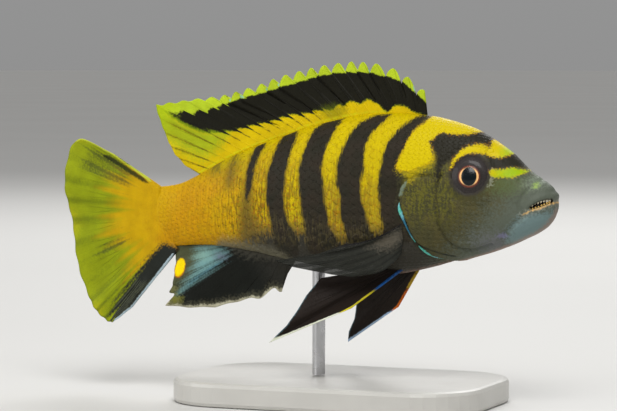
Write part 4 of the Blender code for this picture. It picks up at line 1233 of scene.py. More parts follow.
# %% [markdown]
# ## Where the scales sit
# Scales are full size on the flank and smaller on the nape, breast, cheek and tail. Each row is staggered
# against the next.

# %% Lay the scales out
SCALE_STEP = 1.72
MAP_HALF = 24.0
NAKED_FACE = (
    (-2.0, -16.0), (-2.0, 16.0), (8.5, 16.0), (11.2, 9.0), (10.6, 4.0), (11.0, -1.0), (12.5, -4.5),
    (15.0, -9.0), (18.0, -16.0),
)
SCALE_SEED = 11
EDGE_CLEAR, GILL_CLEAR = 0.35, 0.45


def scale_size_at(s, a):
    """The spacing of scales: full size on the flank, smaller on nape, breast, cheek and tail."""
    tail = 1 - 0.42 * smooth_step(s, 56, 80)
    nape = 1 - 0.42 * smooth_step(33 - s, 0, 9)
    breast = 1 - 0.35 * smooth_step(-a, 9, 14) * (1 - smooth_step(s, 40, 55))
    return tail * nape * breast


def in_scaled_skin(s, a, z):
    places = np.stack([s, z], axis=-1)
    free = np.hypot(s - EYE_S, z - EYE_Z) > 5.0
    face = outline_distance(places, np.array(NAKED_FACE)) > 0
    return free & face & (line_distance(places, GILL_LINE) > GILL_CLEAR)


def scale_spots():
    """Staggered rows whose spacing follows the local size of the scales."""
    rng = np.random.default_rng(SCALE_SEED)
    found = []
    row = 0
    a = -MAP_HALF
    while a < MAP_HALF:
        s = 8.0 + (row % 2) * 0.5 * SCALE_STEP
        while s < 79.2:
            size = float(scale_size_at(np.array(s), np.array(a)))
            found.append((s, a, size))
            s += SCALE_STEP * size
        a += SCALE_STEP * 0.5
        row += 1
    found = np.array(found)
    found[:, 0] += rng.normal(0, 0.03, len(found))
    return found


def thinned(found):
    """Leaves out each scale that is too close to one already kept, row by row."""
    keep = []
    cells = {}
    for index, (s, a, size) in enumerate(found):
        reach = SCALE_STEP * size * 0.62
        cell = (int(s // 2), int(a // 2))
        close = False
        for i in (-1, 0, 1):
            for j in (-1, 0, 1):
                for other in cells.get((cell[0] + i, cell[1] + j), ()):
                    if (found[other, 0] - s) ** 2 + (found[other, 1] - a) ** 2 < reach**2:
                        close = True
        if not close:
            cells.setdefault(cell, []).append(index)
            keep.append(index)
    return found[keep]


spots = thinned(scale_spots())
lengths = arc_length(spots[:, 0], spots[:, 1] > 0)
spots = spots[np.abs(spots[:, 1]) < lengths - EDGE_CLEAR]
middles = wrap(spots[:, 0], spots[:, 1], 0.0)
spots = spots[in_scaled_skin(middles[:, 0], spots[:, 1], middles[:, 2])]
print("scales on one side:", len(spots))

# %% [markdown]
# ## The coat of scales
# One scale is a thin rounded plate. Its copies take their sizes from the local spacing, and the flat coat
# is then bent with the map round each side of the fish.

# %% One scale, its copies and their wrapping
SCALE_LENGTH, SCALE_WIDTH = 1.75 / 1.3 * SCALE_STEP, SCALE_STEP
SCALE_ROOT, SCALE_WIDEST = 0.35, 0.42
SCALE_ROWS, SCALE_COLUMNS = 5, 5
SCALE_THICK, SCALE_RISE, SCALE_SINK = 0.04, 0.065, -0.05


def rim_of(rows, columns):
    """The places round the edge of a grid, in order."""
    last_row, last_column = rows - 1, columns - 1
    rim = [(i, 0) for i in range(last_row)] + [(last_row, j) for j in range(last_column)]
    rim += [(i, last_column) for i in range(last_row, 0, -1)]
    return rim + [(0, j) for j in range(last_column, 0, -1)]


def one_scale():
    """A thin rounded plate, 1 mm long and wide, whose free edge is round and stands highest."""
    points, faces = [], []
    for layer in (1, 0):
        for i in range(SCALE_ROWS):
            u = i / (SCALE_ROWS - 1)
            half = 0.5 * (0.72 + 0.28 * u / SCALE_WIDEST)
            if u > SCALE_WIDEST:
                half = 0.5 * math.sqrt(max(0.0, 1 - ((u - SCALE_WIDEST) / 0.6) ** 2))
            for j in range(SCALE_COLUMNS):
                v = 2 * j / (SCALE_COLUMNS - 1) - 1
                reach = u - 0.1 * v * v * u
                points.append((reach - SCALE_ROOT, half * v, float(layer)))
    count = SCALE_ROWS * SCALE_COLUMNS

    def at(layer, i, j):
        return layer * count + i * SCALE_COLUMNS + j

    for i in range(SCALE_ROWS - 1):
        for j in range(SCALE_COLUMNS - 1):
            faces.append((at(0, i, j), at(0, i + 1, j), at(0, i + 1, j + 1), at(0, i, j + 1)))
            faces.append((at(1, i, j), at(1, i, j + 1), at(1, i + 1, j + 1), at(1, i + 1, j)))
    rim = rim_of(SCALE_ROWS, SCALE_COLUMNS)
    for one, two in zip(rim, rim[1:] + rim[:1]):
        faces.append((at(0, *one), at(1, *one), at(1, *two), at(0, *two)))
    return shape_from("one_scale", points, faces)


def wrapped_scales(name, side, material, scale_shape):
    """Copies on the flat map, then wrapped round one side of the body."""
    on_map = np.stack([spots[:, 0], spots[:, 1], np.zeros(len(spots))], axis=-1)
    sizes = np.stack([spots[:, 2] * SCALE_LENGTH, spots[:, 2] * SCALE_WIDTH, np.ones(len(spots))], axis=-1)
    obj = copies_on(name, on_map, np.zeros((len(spots), 3)), sizes, scale_shape, material)
    mesh = obj.data
    flat = raw_points(mesh)
    each = len(mesh.vertices) // len(spots)
    owner = np.repeat(np.arange(len(spots)), each)
    reach = (flat[:, 0] - spots[owner, 0]) / (spots[owner, 2] * SCALE_LENGTH) + SCALE_ROOT
    across = (flat[:, 1] - spots[owner, 1]) / (spots[owner, 2] * SCALE_WIDTH) * 2
    lift = SCALE_SINK + (SCALE_RISE * reach - 0.03 * across**2) * (0.3 + 0.7 * spots[owner, 2])
    lift += (flat[:, 2] - 1) * SCALE_THICK - SKIN_UNDER + 0.04
    limit = arc_length(flat[:, 0], flat[:, 1] > 0)
    around = np.clip(flat[:, 1], -limit, limit)
    body = wrap(flat[:, 0], around, 0.0)
    lifted = taper(wrap(flat[:, 0], around, lift + relief(body)))
    lifted[:, 1] *= side
    move_points(mesh, lifted)
    store_markings(mesh, lifted)
    # How near each point is to its scale's free edge, where the paint darkens it as painted shade.
    store(mesh, "margin", np.clip(np.maximum(reach, np.abs(across) * 0.9), 0, 1))
    layer = mesh.uv_layers.new(name="OFBake")
    corners = np.empty(len(mesh.loops), int)
    mesh.loops.foreach_get("vertex_index", corners)
    patch = np.stack([reach, across * 0.5 + 0.5], axis=-1)[corners] * 0.003
    root_place = np.stack([spots[:, 0] / 100 + 0.05, spots[:, 1] / 60 + 0.5], axis=-1)[owner[corners]]
    layer.data.foreach_set("uv", (root_place + patch).ravel())
    face_out(mesh)
    mesh.shade_smooth()
    return obj


scale_paint = skin_material("scales", scaled=True)
scale_shape = one_scale()
for side, word in ((1, "left"), (-1, "right")):
    scales = wrapped_scales("scales_" + word, side, scale_paint, scale_shape)
    ride(scales, "trunk")
    print(scales.name, face_count(scales), "triangles")
bpy.data.objects.remove(scale_shape)

# %% [markdown]
# ## Eyes
# A cichlid's eye has no lid. A dark iris slopes out of the socket, a thin ring of gold lies round the
# pupil, and the round lens bulges a little through it. One mesh of rings gives all three, and the ring's
# distance from the pupil's middle is stored so that the paint can follow it.

# %% The eyes
PUPIL_DROP, PUPIL_RADIUS = -0.4, 1.5
PUPIL_LEVEL, PUPIL_UPRIGHT = 1.38, 1.62
EYE_RINGS, EYE_SPOKES = 40, 96
EYE_FALL, EYE_FALL_POWER = 1.35, 2.4


def make_eye(name, side):
    matrix = eye_matrix(side)
    slant = np.linspace(0, math.pi * 0.62, EYE_RINGS + 1)[1:]
    reach = EYE_RADIUS * np.sin(slant)
    dome = EYE_DEPTH - EYE_FALL * np.sin(slant) ** EYE_FALL_POWER
    depth = np.where(slant < math.pi / 2, dome, EYE_DEPTH - EYE_FALL - 2.0 * (slant - math.pi / 2))
    turn = np.linspace(0, 2 * math.pi, EYE_SPOKES, endpoint=False)
    local = np.stack([
        reach[:, None] * np.cos(turn), reach[:, None] * np.sin(turn), depth[:, None] + 0 * turn], axis=-1)
    local = np.vstack([[[0, 0, EYE_DEPTH]], local.reshape(-1, 3)])
    up = matrix.to_3x3().inverted() @ Vector((0, 0, 1))
    up = np.array((up.x, up.y)) / math.hypot(up.x, up.y)
    middle = up * PUPIL_DROP
    from_pupil = np.hypot(local[:, 0] - middle[0], local[:, 1] - middle[1])
    local[:, 2] += 0.14 * np.clip(1 - (from_pupil / PUPIL_RADIUS) ** 2, 0, 1) ** 0.5
    local[:, 2] += 0.07 * hump(from_pupil - 1.85, 0.22) - 0.10 * hump(from_pupil - 2.5, 0.4)
    faces = [(0, 1 + j, 1 + (j + 1) % EYE_SPOKES) for j in range(EYE_SPOKES)]
    for i in range(EYE_RINGS - 1):
        for j in range(EYE_SPOKES):
            k = (j + 1) % EYE_SPOKES
            first, second = 1 + i * EYE_SPOKES, 1 + (i + 1) * EYE_SPOKES
            faces.append((first + j, second + j, second + k, first + k))
    last = 1 + (EYE_RINGS - 1) * EYE_SPOKES
    faces.append([last + j for j in range(EYE_SPOKES - 1, -1, -1)])
    eye = shape_from(name, [matrix @ Vector(point * MM) for point in local], faces)
    mesh = eye.data
    mesh.shade_smooth()
    level = (local[:, 0] - middle[0]) * up[1] - (local[:, 1] - middle[1]) * up[0]
    upright = (local[:, 0] - middle[0]) * up[0] + (local[:, 1] - middle[1]) * up[1]
    oval = np.hypot(level / PUPIL_LEVEL, upright / PUPIL_UPRIGHT)
    sideways = np.abs(level) / np.maximum(np.hypot(level, upright), 1e-6)
    store(mesh, "pupil", oval - 1)
    store(mesh, "ring", oval - 1.06 - 0.2 * sideways**2)
    store(mesh, "beside", sideways)
    return eye


def eye_material():
    """Iris, rust-coloured rim, gold ring and pupil, painted outwards in."""
    material, tree, shader = new_material("eye", 0.12, coat=0.2)
    shader.inputs["Coat Roughness"].default_value = 0.02
    shader.inputs["Specular IOR Level"].default_value = 0.2
    grains = fish_grain(tree, 2.5)[1]
    iris = mixed(tree, grains, srgb(32, 27, 26), srgb(52, 45, 43))
    ring, pupil = read(tree, "ring"), read(tree, "pupil")
    beside = ramp(tree, read(tree, "beside"), 0.3, 0.85)
    rust = times(tree, ramp(tree, ring, 0.28, 0.02), ramp(tree, grains, 0.1, 0.7, 0.5, 0.9))
    colour = mixed(tree, rust, iris, srgb(132, 58, 32))
    gold = ramp(tree, ring, 0.05, -0.03)
    colour = mixed(tree, gold, colour, mixed(tree, beside, srgb(124, 104, 82), srgb(242, 188, 122)))
    colour = mixed(tree, ramp(tree, pupil, 0.04, -0.02), colour, srgb(2, 13, 17))
    dress(tree, shader, colour, ramp(tree, pupil, 0.0, 0.4, 0.1, 0.5), grains, 0.03, 0.4)
    return material


eye_paint = eye_material()
for side, word in ((1, "left"), (-1, "right")):
    eye = make_eye("eyeball_" + word, side)
    eye.data.materials.append(eye_paint)
    ride(eye, "eye", "eye_" + word)
print("eye radius:", EYE_RADIUS, "mm, pupil radius:", PUPIL_RADIUS, "mm")

# %% [markdown]
# ## Teeth
# This fish scrapes food off rocks with a close row of small, slightly flattened teeth. The same tree as for
# the scales sets them along both lips.

# %% Teeth
def one_tooth():
    """A tooth 1 mm long with a rounded, narrowing crown that points up."""
    points, faces = [], []
    for height, radius in ((0.0, 0.2), (0.45, 0.21), (0.8, 0.16), (1.0, 0.07)):
        for j in range(8):
            turn = j * math.pi / 4
            points.append((radius * math.cos(turn), 0.8 * radius * math.sin(turn), height))
    for i in range(3):
        for j in range(8):
            k = (j + 1) % 8
            faces.append((i * 8 + j, i * 8 + k, (i + 1) * 8 + k, (i + 1) * 8 + j))
    faces += [range(7, -1, -1), range(24, 32)]
    return shape_from("one_tooth", points, faces)


def tooth_row(name, edge, points_up, count, width, length, paint):
    way = 1 if points_up else -1
    path = lip_path(edge, -0.22 * way, 0.36, 0.42, ends=4.3, front=0.7, steps=30)
    steps = np.concatenate([[0], np.cumsum(np.linalg.norm(np.diff(path, axis=0), axis=1))])
    where = np.linspace(0, steps[-1], count)
    spots = np.stack([np.interp(where, steps, path[:, k]) for k in range(3)], axis=-1)
    ahead = np.gradient(spots, axis=0)
    turns = np.zeros((count, 3))
    turns[:, 2] = np.arctan2(ahead[:, 1], -ahead[:, 0])
    turns[:, 0] = 0 if points_up else math.pi
    rng = np.random.default_rng(TOOTH_SEED)
    middle = (1 - 0.35 * np.abs(np.linspace(-1, 1, count)) ** 2) * rng.uniform(0.88, 1.12, count)
    sizes = np.stack([width * middle, width * middle, length * middle], axis=-1)
    return copies_on(name, place(spots), turns, sizes, tooth_shape, paint, size=MM)


def tooth_material(name, light, dark):
    material, tree, shader = new_material(name, 0.25, coat=0.3)
    dress(tree, shader, mixed(tree, fish_grain(tree, 3.0)[1], light, dark))
    return material


TOOTH_SEED = 5
tooth_shape = one_tooth()
upper_teeth = tooth_row("teeth_upper", UPPER_LIP_EDGE, False, 23, 1.3, 0.82,
                        tooth_material("tooth", srgb(240, 236, 220), srgb(214, 200, 160)))
lower_teeth = tooth_row("teeth_lower", LOWER_LIP_EDGE, True, 24, 1.15, 0.5,
                        tooth_material("worn_tooth", srgb(206, 170, 84), srgb(150, 112, 46)))
for teeth, slot in ((upper_teeth, "jaw_upper"), (lower_teeth, "jaw_lower")):
    teeth.data.shade_smooth()
    ride(teeth, slot)
    print(teeth.name, face_count(teeth), "triangles")
bpy.data.objects.remove(tooth_shape)

# %% [markdown]
# ## Fins
# A fin is a thin skin stretched over rays. Spines are single tapering rods, while soft rays fork twice on
# their way to the edge. The web is a thin closed sheet between a line of roots and a line of tips, and the
# rays are rods that a second Geometry Nodes tree sweeps along the same surface, so that they always lie in
# the web.

# %% A fin's surface
class FinForm:
    """Roots and tips of the rays in fish coordinates, and how the edge falls back between them."""

    def __init__(self, roots, tips, dip=None, bow=(0, 0, 0), wave=0.0, round_edge=False, dip_way=None):
        self.roots, self.tips = np.asarray(roots, float), np.asarray(tips, float)
        self.count = len(self.roots)
        self.dip = dip or (lambda u: np.zeros_like(u))
        self.bow, self.wave, self.round_edge = np.asarray(bow, float), wave, round_edge
        self.dip_way = dip_way

    def between(self, table, u, smooth):
        """The root or the tip at ray number u, on straight lines or on a smooth curve through all of them."""
        if smooth:
            numbers = range(self.count)
            return np.stack([curve_through(numbers, table[:, k])(u) for k in range(3)], axis=-1)
        low = np.clip(u.astype(int), 0, self.count - 2)
        share = (u - low)[..., None]
        return table[low] * (1 - share) + table[low + 1] * share

    def at(self, u, v):
        """The point at ray number u and reach v, both arrays."""
        u, v = np.broadcast_arrays(np.asarray(u, float), np.asarray(v, float))
        start, end = self.between(self.roots, u, True), self.between(self.tips, u, self.round_edge)
        inwards = (start - end) / np.linalg.norm(end - start, axis=-1, keepdims=True)
        end = end + (inwards if self.dip_way is None else np.asarray(self.dip_way)) * self.dip(u)[..., None]
        reach = v[..., None]
        point = start + (end - start) * reach + self.bow * 4 * reach * (1 - reach)
        if self.wave:
            point = point + self.facing() * (self.wave * np.sin(u * 1.9 + 0.7) * v**2)[..., None]
        return point

    def edge_line(self, ray, onwards=0.0, steps=24):
        """The line of one ray, and from its tip along the fin's edge towards ray number onwards."""
        v = np.linspace(0, 1, steps)
        u = np.linspace(ray, onwards, steps)
        return np.vstack([self.at(np.full(steps, float(ray)), v), self.at(u, np.ones(steps))])

    def facing(self):
        if not hasattr(self, "face"):
            middle = self.count // 2
            across = self.roots[-1] - self.roots[0]
            out = self.tips[middle] - self.roots[middle]
            face = np.cross(across, out)
            self.face = face / np.linalg.norm(face)
        return self.face


def web_mesh(name, fin, per_gap, rows, thick=0.11, edge=0.05):
    """The web as a thin closed sheet."""
    u = np.linspace(0, fin.count - 1, (fin.count - 1) * per_gap + 1)
    v = np.linspace(0, 1, rows) ** 0.9
    middle = fin.at(u[:, None], v[None, :])
    half = np.maximum(edge, thick + (edge - thick) * v[None, :, None] * 1.6)
    columns = len(u)
    points = np.concatenate([
        (middle + fin.facing() * half).reshape(-1, 3), (middle - fin.facing() * half).reshape(-1, 3)])
    count = columns * rows
    faces = []
    for c in range(columns - 1):
        for r in range(rows - 1):
            one, two = c * rows + r, (c + 1) * rows + r
            faces.append((one, two, two + 1, one + 1))
            faces.append((count + one, count + one + 1, count + two + 1, count + two))
    rim = [c * rows + r for c, r in rim_of(columns, rows)]
    for one, two in zip(rim, rim[1:] + rim[:1]):
        faces.append((one, count + one, count + two, two))
    obj = object_from(name, points, faces)
    face_out(obj.data)
    store(obj.data, "ray", np.tile(np.repeat(u, rows), 2))
    store(obj.data, "reach", np.tile(np.tile(v, columns), 2))
    return obj


# %% [markdown]
# ## Rays
# A ray is made of lines of points, with a thickness at every point. The tree turns the lines into curves and
# sweeps a ring along them.

# %% The tree that sweeps rays
def rays_tree():
    tree, entry, leave = new_tree(
        "Swept rays", "GeometryNodeTree",
        [("Geometry", "Geometry"), ("Thickness", "Float", 1.0), ("Sides", "Int", 6),
         ("Material", "Material")],
        [("Geometry", "Geometry")],
    )
    lines = add_node(tree, "GeometryNodeMeshToCurve", {"Mesh": entry.outputs["Geometry"]})
    radius = add_node(tree, "GeometryNodeInputNamedAttribute", {"Name": "thickness"}, data_type="FLOAT")
    sized = add_node(tree, "ShaderNodeMath", {0: radius.outputs[0], 1: entry.outputs["Thickness"]},
                     operation="MULTIPLY")
    ring = add_node(tree, "GeometryNodeCurvePrimitiveCircle",
                    {"Resolution": entry.outputs["Sides"], "Radius": 1.0})
    rods = add_node(tree, "GeometryNodeCurveToMesh", {
        "Curve": lines.outputs["Curve"], "Profile Curve": ring.outputs["Curve"], "Scale": sized.outputs[0],
        "Fill Caps": True})
    return end_tree(tree, rods.outputs["Mesh"], entry, leave)


RAYS = rays_tree()


def ray_lines(index, soft):
    """The lines of one ray as lists of (u, v): a spine is one line, a soft ray forks twice."""
    if not soft:
        return [[(index, v) for v in np.linspace(0, 0.995, 12)]]
    lines = [[(index, v) for v in np.linspace(0, 0.42, 6)]]
    for fork in (-1, 1):
        lines.append([(index + fork * 0.15 * (v - 0.38) / 0.3, v) for v in np.linspace(0.38, 0.68, 6)])
        for twig in (-1, 1):
            lines.append([
                (index + fork * 0.15 + (fork * 0.09 + twig * 0.10) * (v - 0.66) / 0.33, v)
                for v in np.linspace(0.66, 0.985, 7)])
    return lines


def rays_object(name, fin, soft_from, root_radius, tip_radius, material, sides=6):
    """All rays of a fin as one mesh, swept by the tree."""
    points, edges, thickness, ray, reach = [], [], [], [], []
    for index in range(fin.count):
        for line in ray_lines(index, index >= soft_from):
            u = np.clip([step[0] for step in line], 0, fin.count - 1)
            v = np.array([step[1] for step in line])
            spots = fin.at(u, v)
            first = len(points)
            points.extend(place(spots))
            edges.extend((first + i, first + i + 1) for i in range(len(line) - 1))
            forks = np.where(v > 0.4, 0.72, 1.0) * np.where(v > 0.67, 0.8, 1.0) if index >= soft_from else 1.0
            thickness.extend((root_radius + (tip_radius - root_radius) * v) * forks * MM)
            ray.extend(u)
            reach.extend(v)
    obj = shape_from(name, points, edges=edges)
    for label, values in (("thickness", thickness), ("ray", ray), ("reach", reach)):
        store(obj.data, label, values)
    modifier = obj.modifiers.new("rays", "NODES")
    modifier.node_group = RAYS
    set_inputs(modifier, thickness=1.0, sides=sides, material=material)
    plain_mesh(obj)
    obj.data.shade_smooth()
    return obj


def stored(mesh, name):
    values = np.empty(len(mesh.vertices), np.float32)
    mesh.attributes[name].data.foreach_get("value", values)
    return values.astype(float)


def make_fin(label, fin, node, slot, soft_from, radii, material, mark, per_gap=6, rows=28, sides=6,
             thick=0.11):
    """A fin's web and rays with the same paint; mark(mesh, points, ray, reach) stores its markings."""
    web = web_mesh(label + "_web", fin, per_gap, rows, thick)
    web.data.materials.append(material)
    rods = rays_object(label + "_rays", fin, soft_from, *radii, material, sides)
    for piece in (web, rods):
        store(piece.data, "on_ray", np.full(len(piece.data.vertices), 0.0 if piece is web else 1.0))
        mark(piece.data, points_of(piece.data), stored(piece.data, "ray"), stored(piece.data, "reach"))
    ride(web, slot, node)
    ride(rods, slot)
    print(label, face_count(web) + face_count(rods), "triangles")


# %% [markdown]
# ## Dorsal fin
# Seventeen spines carry lime lappets over a black band, with a yellow sheath along the base. The last
# nine rays are soft, lime and yellow, and sweep back to a point.

# %% Dorsal fin
DORSAL_SPINES = 17
DORSAL_FRONT, DORSAL_END = 25.2, 70.4
DORSAL_TIPS = (
    (25.6, 19.3), (28.7, 21.7), (31.7, 23.3), (35.0, 24.2), (37.6, 24.5), (40.1, 24.6), (42.7, 24.3),
    (45.4, 23.9), (48.1, 23.4), (50.6, 22.8), (53.2, 22.1), (55.8, 21.3), (58.3, 20.4), (60.9, 19.6),
    (63.3, 18.9), (65.8, 18.3), (68.4, 17.9), (71.2, 17.6), (74.4, 17.2), (77.4, 16.8), (79.9, 16.4),
    (79.2, 13.8), (78.2, 11.0), (76.8, 8.4), (75.0, 6.1), (72.8, 4.2),
)
LAPPET_DEPTH, LAPPET_ROUND, LAPPET_SIDE = 2.3, 1.8, 0.7


def dorsal_dip(u):
    """Plump lappets: the edge is highest at each spine's tip and drops to a narrow notch half way between."""
    from_tip = np.abs((u + 0.5) % 1 - 0.5) * 2
    lappet = LAPPET_DEPTH * (1 - (1 - from_tip**LAPPET_ROUND) ** LAPPET_SIDE)
    soft = 0.35 * np.sin(np.pi * (u % 1)) ** 2
    fade = smooth_step(u, 14.0, 17.4)
    return lappet * (1 - fade) + soft * fade


dorsal_s = np.linspace(DORSAL_FRONT, DORSAL_END, len(DORSAL_TIPS))
dorsal = FinForm(
    np.stack([dorsal_s, 0 * dorsal_s, back_at(dorsal_s) - 0.35], axis=-1),
    [(s, 0.0, z) for s, z in DORSAL_TIPS], dorsal_dip, wave=0.25, dip_way=(0, 0, -1))
band_top_at = curve_through(
    (24.5, 26.9, 29.4, 33.0, 35.9, 38.5, 43.3, 47.0, 51.5, 56.7, 61.3, 64.3, 66.6, 70.0, 73.0, 76.0, 78.0,
     80.0),
    (16.5, 18.5, 20.5, 21.8, 22.4, 22.6, 22.4, 21.7, 20.5, 19.0, 17.8, 16.8, 16.0, 15.2, 14.9, 15.0, 15.4,
     16.0))
sheath_at = curve_through(
    (24.5, 26.5, 28.0, 29.0, 30.5, 31.8, 32.7, 33.3, 34.2, 35.3, 37.0, 38.2, 39.5, 40.6, 41.5, 42.4, 43.6,
     46.0, 48.0, 50.0, 52.0, 54.0, 56.0, 58.0, 60.0, 62.0, 64.0, 66.0, 68.0, 70.0, 72.0, 74.0, 76.0,
     78.0, 80.0),
    (14.6, 14.9, 15.4, 16.1, 16.4, 16.1, 15.2, 15.3, 16.3, 17.0, 17.4, 16.7, 17.1, 17.0, 16.1, 16.6, 15.7,
     15.6, 15.2, 14.8, 14.6, 14.1, 13.4, 13.0, 12.5, 12.0, 11.5, 11.1, 10.9, 11.0, 11.6, 12.4, 13.5,
     14.8, 16.2))


def mark_dorsal(mesh, points, ray, reach):
    s, _, z = points.T
    share = ray % 1
    tooth = smooth_step(share, 0.0, 0.3) * (0.7 + 0.35 * share) * (1 - smooth_step(share, 0.86, 1.0))
    spiny = 1 - smooth_step(s, 64, 70)
    from_spine = np.minimum(share, 1 - share) * 2
    store_ground(mesh, points)
    scallop = 1.1 * (0.5 - share) * smooth_step(s, 58, 64) * (1 - smooth_step(s, 75, 78))
    store(mesh, "lappet", band_top_at(s) - z + 0.3 * from_spine**2 * spiny - 0.1 + scallop)
    edge = z - sheath_at(s) + (1.0 * (1 - tooth) - 0.15) * smooth_step(s, 42, 50) * spiny
    store(mesh, "sheath", edge)
    store(mesh, "green_glow", edge - 0.4 * smooth_step(s, 62, 70) - 0.4 * from_spine * (1 - spiny))
    # Painted shade: dark lines in the grooves between the sheath's scallops.
    store(mesh, "groove_shade", from_spine * 1.2 - 0.16 + 2 * smooth_step(-edge, 1.4, 2.6) * spiny
          + 2 * smooth_step(edge, -0.1, 0.3) + 0.5 * (1 - smooth_step(s, 40, 50)))
    rear = -1.0 - edge - 4.0 * smooth_step(s, 64, 71) + 3 * smooth_step(66 - s, 0, 3)
    store(mesh, "rear_green", np.maximum(rear, 6 * edge))
    store(mesh, "rear_tip", 78.0 - s - 0.4 * np.clip(z - 12, -6, 4))
    store(mesh, "sheath_green", np.hypot((s - 43.5) / 2.4, (z - 15.2) / 1.4) - 1.0)
    store(mesh, "sheath_rim", np.abs(z - back_at(s) - 0.25) - 0.2 + 2 * smooth_step(33 - s, 0, 1))
    corner = np.hypot((share - 0.64) * 5.5, (z - band_top_at(s) - 0.45) * 1.8) - 0.75
    blue_here = np.sin(np.floor(ray) * 2.4 + 1.0) > -0.2
    store(mesh, "blue_corner", corner + np.where(blue_here, 0, 2) + 2 * smooth_step(s, 66, 67))
    in_sheath = smooth_step(-edge, -0.6, 0.4)
    store(mesh, "on_ray", stored(mesh, "on_ray") * (1 - in_sheath * spiny))


GROUND = "the body's own yellow ground"


def fin_material(name, base, layers, roughness=0.45, ray_dark=0.25, alpha=1.0):
    """A fin's paint: its layers, darker rays and a fine grain. A layer may take the body's ground."""
    material, tree, shader = new_material(name, roughness)
    shader.inputs["Specular IOR Level"].default_value = SKIN_SPECULAR
    strokes, grains, blotches = fish_grain(tree)
    layers = [
        (label, yellow_ground(tree, strokes, grains, blotches) if colour is GROUND else colour, *rest)
        for label, colour, *rest in layers]
    colour = paint(tree, base, layers, grains)
    shade = times(tree, read(tree, "on_ray"), ray_dark)
    colour = mixed(tree, shade, colour, mixed(tree, 1.0, colour, srgb(120, 110, 60), "MULTIPLY"))
    dull = mixed(tree, 1.0, colour, srgb(170, 160, 130), "MULTIPLY")
    colour = mixed(tree, times(tree, blotches, 0.25), colour, dull)
    rough = maths(tree, "MULTIPLY_ADD", grains, 0.15, roughness - 0.07)
    dress(tree, shader, colour, rough, maths(tree, "ADD", grains, strokes), 0.03)
    if alpha < 1:
        solid = maths(tree, "ADD", read(tree, "on_ray"), read(tree, "cover"), clamp=True)
        tree.links.new(ramp(tree, solid, 0.0, 1.0, alpha, 1.0), shader.inputs["Alpha"])
    return material


BLACK_WEB, LIME = srgb(26, 25, 16), srgb(181, 203, 40)
dorsal_paint = fin_material("dorsal_fin", BLACK_WEB, [
    ("lappet", LIME, 0.35, 0.1, 1.0),
    ("green_glow", srgb(128, 150, 10), 0.8, 0.15, 0.9),
    ("sheath", srgb(212, 184, 0), 0.5, 0.12, 1.0),
    ("sheath_green", srgb(96, 106, 14), 1.2, 0.2, 0.55),
    ("rear_green", srgb(154, 176, 26), 5.0, 0.8, 0.85),
    # Painted shade in the grooves between the sheath's scallops.
    ("groove_shade", srgb(104, 88, 8), 0.5, 0.1, 0.8),
    ("rear_tip", srgb(174, 196, 18), 5.0, 0.6, 0.9),
    ("sheath_rim", srgb(206, 204, 20), 0.3, 0.08, 0.7),
    ("blue_corner", srgb(124, 196, 176), 0.5, 0.1, 0.75),
])
make_fin("dorsal_fin", dorsal, "fin_dorsal", "dorsal", DORSAL_SPINES, (0.22, 0.08), dorsal_paint, mark_dorsal,
         per_gap=12, rows=34, thick=0.16)

# %% [markdown]
# ## Anal fin
# The first four rays are single and the others fork. The fin is black with a cream edge, and near the hind
# corner it has the yellow egg spot that males show.

# %% Anal fin
ANAL_FRONT, ANAL_END = 51.2, 66.2
ANAL_TIPS = (
    (52.9, -15.2), (54.1, -18.7), (58.4, -20.1), (63.2, -20.9), (67.8, -22.1), (73.0, -22.3), (78.1, -22.1),
    (77.4, -19.4), (76.5, -17.4), (76.1, -15.0), (76.0, -12.6), (76.4, -10.5),
)
ANAL_NOTCHES = (0.0, 1.5, 0.6, 0.3, 0.2, 0.2, 1.7, 0.3, 0.2, 0.2, 0.1)


def anal_dip(u):
    """How deep the edge falls back between one ray and the next."""
    depth = np.asarray(ANAL_NOTCHES)[np.clip(u.astype(int), 0, len(ANAL_NOTCHES) - 1)]
    return depth * np.sin(np.pi * (u % 1)) ** 2


anal_s = np.linspace(ANAL_FRONT, ANAL_END, len(ANAL_TIPS))
anal = FinForm(
    np.stack([anal_s, 0 * anal_s, belly_at(anal_s) + 0.35], axis=-1), [(s, 0.0, z) for s, z in ANAL_TIPS],
    anal_dip, wave=0.2)
EGG_SPOT = ((74.5, -12.9), (74.0, -13.5), (74.0, -14.6), (74.4, -15.6), (75.2, -16.3), (75.8, -16.3),
            (76.0, -15.4), (75.7, -14.0), (75.2, -13.1))
ANAL_SHEEN = ((71.6, -10.5), (67.9, -9.9), (65.2, -11.4), (66.2, -13.0), (68.6, -14.9), (71.5, -16.8),
              (73.4, -18.2), (75.3, -19.8), (75.9, -20.5), (75.2, -19.2), (74.0, -17.2), (72.8, -15.4),
              (72.0, -13.6), (71.8, -12.0))


